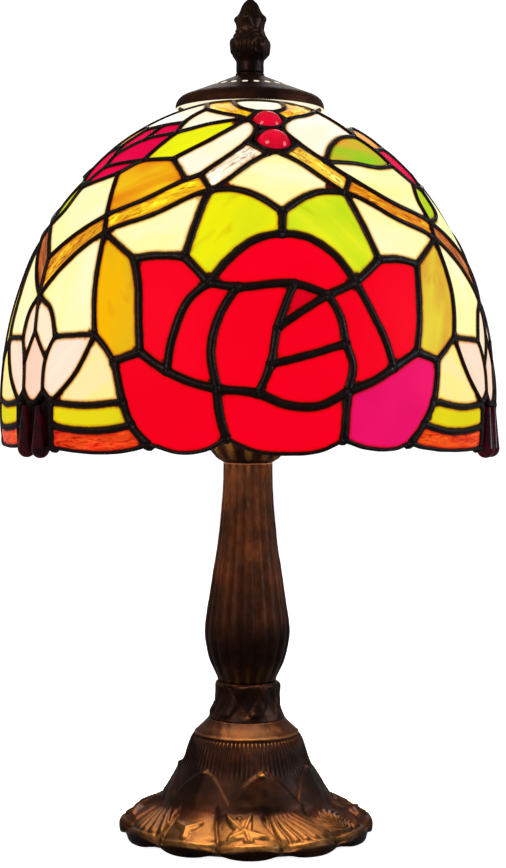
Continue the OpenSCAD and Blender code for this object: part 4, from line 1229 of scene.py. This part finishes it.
def cap_material():
    """Dark bronze, with lamplight on its underside and in its ring of vents."""
    vents_r, vents_reach = 17.5 * MM, 1.8 * MM
    paint = Paint("vented_bronze", {"Metallic": 0.6, "Specular IOR Level": 0.15, "Emission Strength": 1.0})
    place = paint.place()
    fine = paint.noise(place, 520, 4.0, 0.65)
    colour = bronze_colour(paint, place, fine, (1.7, 1.6, 1.4, 1))
    normal = paint.add("TexCoord", {}).outputs["Normal"]
    upright = paint.add("SeparateXYZ", {"Vector": normal}).outputs["Z"]
    under = paint.spread(upright, -0.3, -0.5)
    flat = paint.place("Object", (1, 1, 0))
    radius = paint.add("VectorMath", {0: flat}, operation="LENGTH").outputs["Value"]
    wall = paint.maths("LESS_THAN", paint.maths("ABSOLUTE", upright, 0.0), 0.3)
    from_vents = paint.maths("ABSOLUTE", paint.maths("SUBTRACT", radius, vents_r), 0.0)
    ring = paint.maths("LESS_THAN", from_vents, vents_reach)
    lit = paint.maths("MAXIMUM", under, paint.maths("MULTIPLY", wall, ring))
    glow = paint.mix(lit, (0, 0, 0, 1), screen(255, 246, 214))
    rough = paint.spread(fine, 0.3, 0.7, 0.5, 0.64)
    return paint.done(Base_Color=colour, Roughness=rough, Emission_Color=glow)


def clouded_material(name, low, high, grain, relief, glow=0.0, noise=(2.0,), **values):
    """One noise that varies the colour between two and raises the surface, and light of that colour."""
    paint = Paint(name, {key.replace("_", " "): value for key, value in values.items()})
    cloud = paint.noise(paint.place(), grain, *noise)
    colour = paint.ramp(cloud, [(0.3, low), (0.7, high)])
    if relief:
        paint.bump(cloud, relief)
    if glow:
        paint.fill(paint.shader, {"Emission Color": colour, "Emission Strength": glow})
    return paint.done(Base_Color=colour)


def metal_material(name, low, high, gloss, grain=400.0, relief=0.04, metallic=1.0):
    """A plain metal, varied between two colours and slightly uneven."""
    paint = Paint(name, {"Metallic": metallic})
    place = paint.place()
    fine = paint.noise(place, grain, 4.0, 0.6)
    cloud = paint.noise(place, grain / 9, 3.0)
    colour = paint.ramp(cloud, [(0.3, low), (0.7, high)])
    rough = paint.spread(fine, 0.3, 0.7, gloss - 0.07, gloss + 0.09)
    paint.bump(fine, relief)
    return paint.done(Base_Color=colour, Roughness=rough)


def dull_material(name, low, high, gloss, grain=900.0, relief=0.08):
    return metal_material(name, low, high, gloss, grain, relief, 0.0)


def stone_material(name, deep, bright, glow):
    """A polished glass stone, glowing in its own colour as painted light from the bulb behind it."""
    return clouded_material(name, deep, bright, 160, 0.1, glow, Roughness=0.12, Specular_IOR_Level=0.35)


GLASS_FINISHES = {
    "calm": lit_glass("calm_glass", calm_tint, 0.5, 0.03, (60, 0.25), 0.93),
    "milky": lit_glass("milky_glass", milky_tint, 0.4, 0.1, (90, 0.2), 0.96),
    "streaky": lit_glass("streaky_glass", streaky_tint, 0.45, 0.06, (80, 0.25), 0.93),
    "rippled": lit_glass("rippled_glass", rippled_tint, 0.15, 0.25, (260, 0.35), 0.95),
}


# ---- Assembly ----

def dress(node, material):
    """Gives a CAD node that is shown as it is its own finish."""
    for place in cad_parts[node].material_slots:
        place.material = material


def dress_nodes():
    brass = metal_material("dipped_brass", (150, 106, 44), (206, 160, 84), 0.3)
    steel = metal_material("zinc_plate", (128, 130, 134), (176, 178, 182), 0.4)
    tin = metal_material("tinned_metal", (150, 150, 152), (190, 190, 192), 0.38)
    nickel = metal_material("nickel_plate", (160, 156, 148), (204, 200, 192), 0.2, 250.0, 0.02)
    black = dull_material("moulded_black", (10, 10, 10), (26, 26, 27), 0.5)
    felt = clouded_material("wool_felt", (12, 12, 13), (38, 37, 40), 1500, 0.3, noise=(4.0, 0.7, 1.5),
        Roughness=0.95, Sheen_Weight=0.4)
    # Painted light: the brass top ring under the cap glows near white, standing in for the bulb's light on it
    lit_brass = clouded_material("lit_brass", (255, 244, 206), (255, 250, 226), 120, 0.05, 0.95,
        Metallic=0.4, Roughness=0.4)
    opal = clouded_material("opal_bulb", (255, 226, 164), (255, 238, 196), 40, 0, 0.9, Roughness=0.35)
    pressed = clouded_material("pressed_glass", (214, 226, 222), (236, 242, 240), 300, 0.1,
        Roughness=0.12, Transmission_Weight=0.8, IOR=1.5)
    finishes = {
        felt: ["rest_pad"],
        steel: ["base_plate", "pipe_washer", "harp_saddle"],
        brass: ["plate_nut", "cup_plate", "lamp_pipe", "socket_cap", "socket_shell", "screw_shell",
            "spring_contact"],
        nickel: ["harp", "bulb_cap"],
        tin: ["bulb_contact"],
        black: ["cord_grommet"],
        cap_material(): ["vase_cap"],
        lit_brass: ["top_ring"],
        metal_material("dark_washer", (26, 20, 17), (44, 34, 28), 0.45): ["finial_washer"],
        dull_material("fibre_sleeve", (120, 88, 56), (158, 122, 82), 0.7): ["socket_liner"],
        dull_material("glazed_porcelain", (226, 224, 214), (242, 240, 232), 0.12, 300.0, 0.03): ["socket_core"],
        dull_material("vitrite", (6, 6, 10), (20, 20, 26), 0.08, 300.0, 0.03): ["bulb_insulator"],
        opal: ["bulb_glass"],
        pressed: ["bulb_mount"],
        metal_material("tungsten_wire", (70, 66, 60), (110, 104, 96), 0.45): ["bulb_filament"],
        stone_material("ruby_stone", (188, 0, 30), (226, 0, 46), 0.8): ["round_cabochons"],
        stone_material("garnet_stone", (26, 0, 6), (72, 0, 14), 0.35): ["drop_cabochons"],
    }
    for material, nodes in finishes.items():
        for node in nodes:
            dress(node, material)


def build_shade():
    loops = all_loops()
    seams = Seams(loops)
    build_glass(seams, loops)
    build_solder(seams, loops)


def build_castings():
    bronze = bronze_material()
    dark_bronze = bronze_material("dark_bronze", (0.9, 1.15, 1.25, 1))
    for name, told in CASTINGS.items():
        casting(name, dark_bronze if name == "finial_bud" else bronze, *told)


add_camera()
add_lights()
add_stage()
build_shade()
build_castings()
dress_nodes()
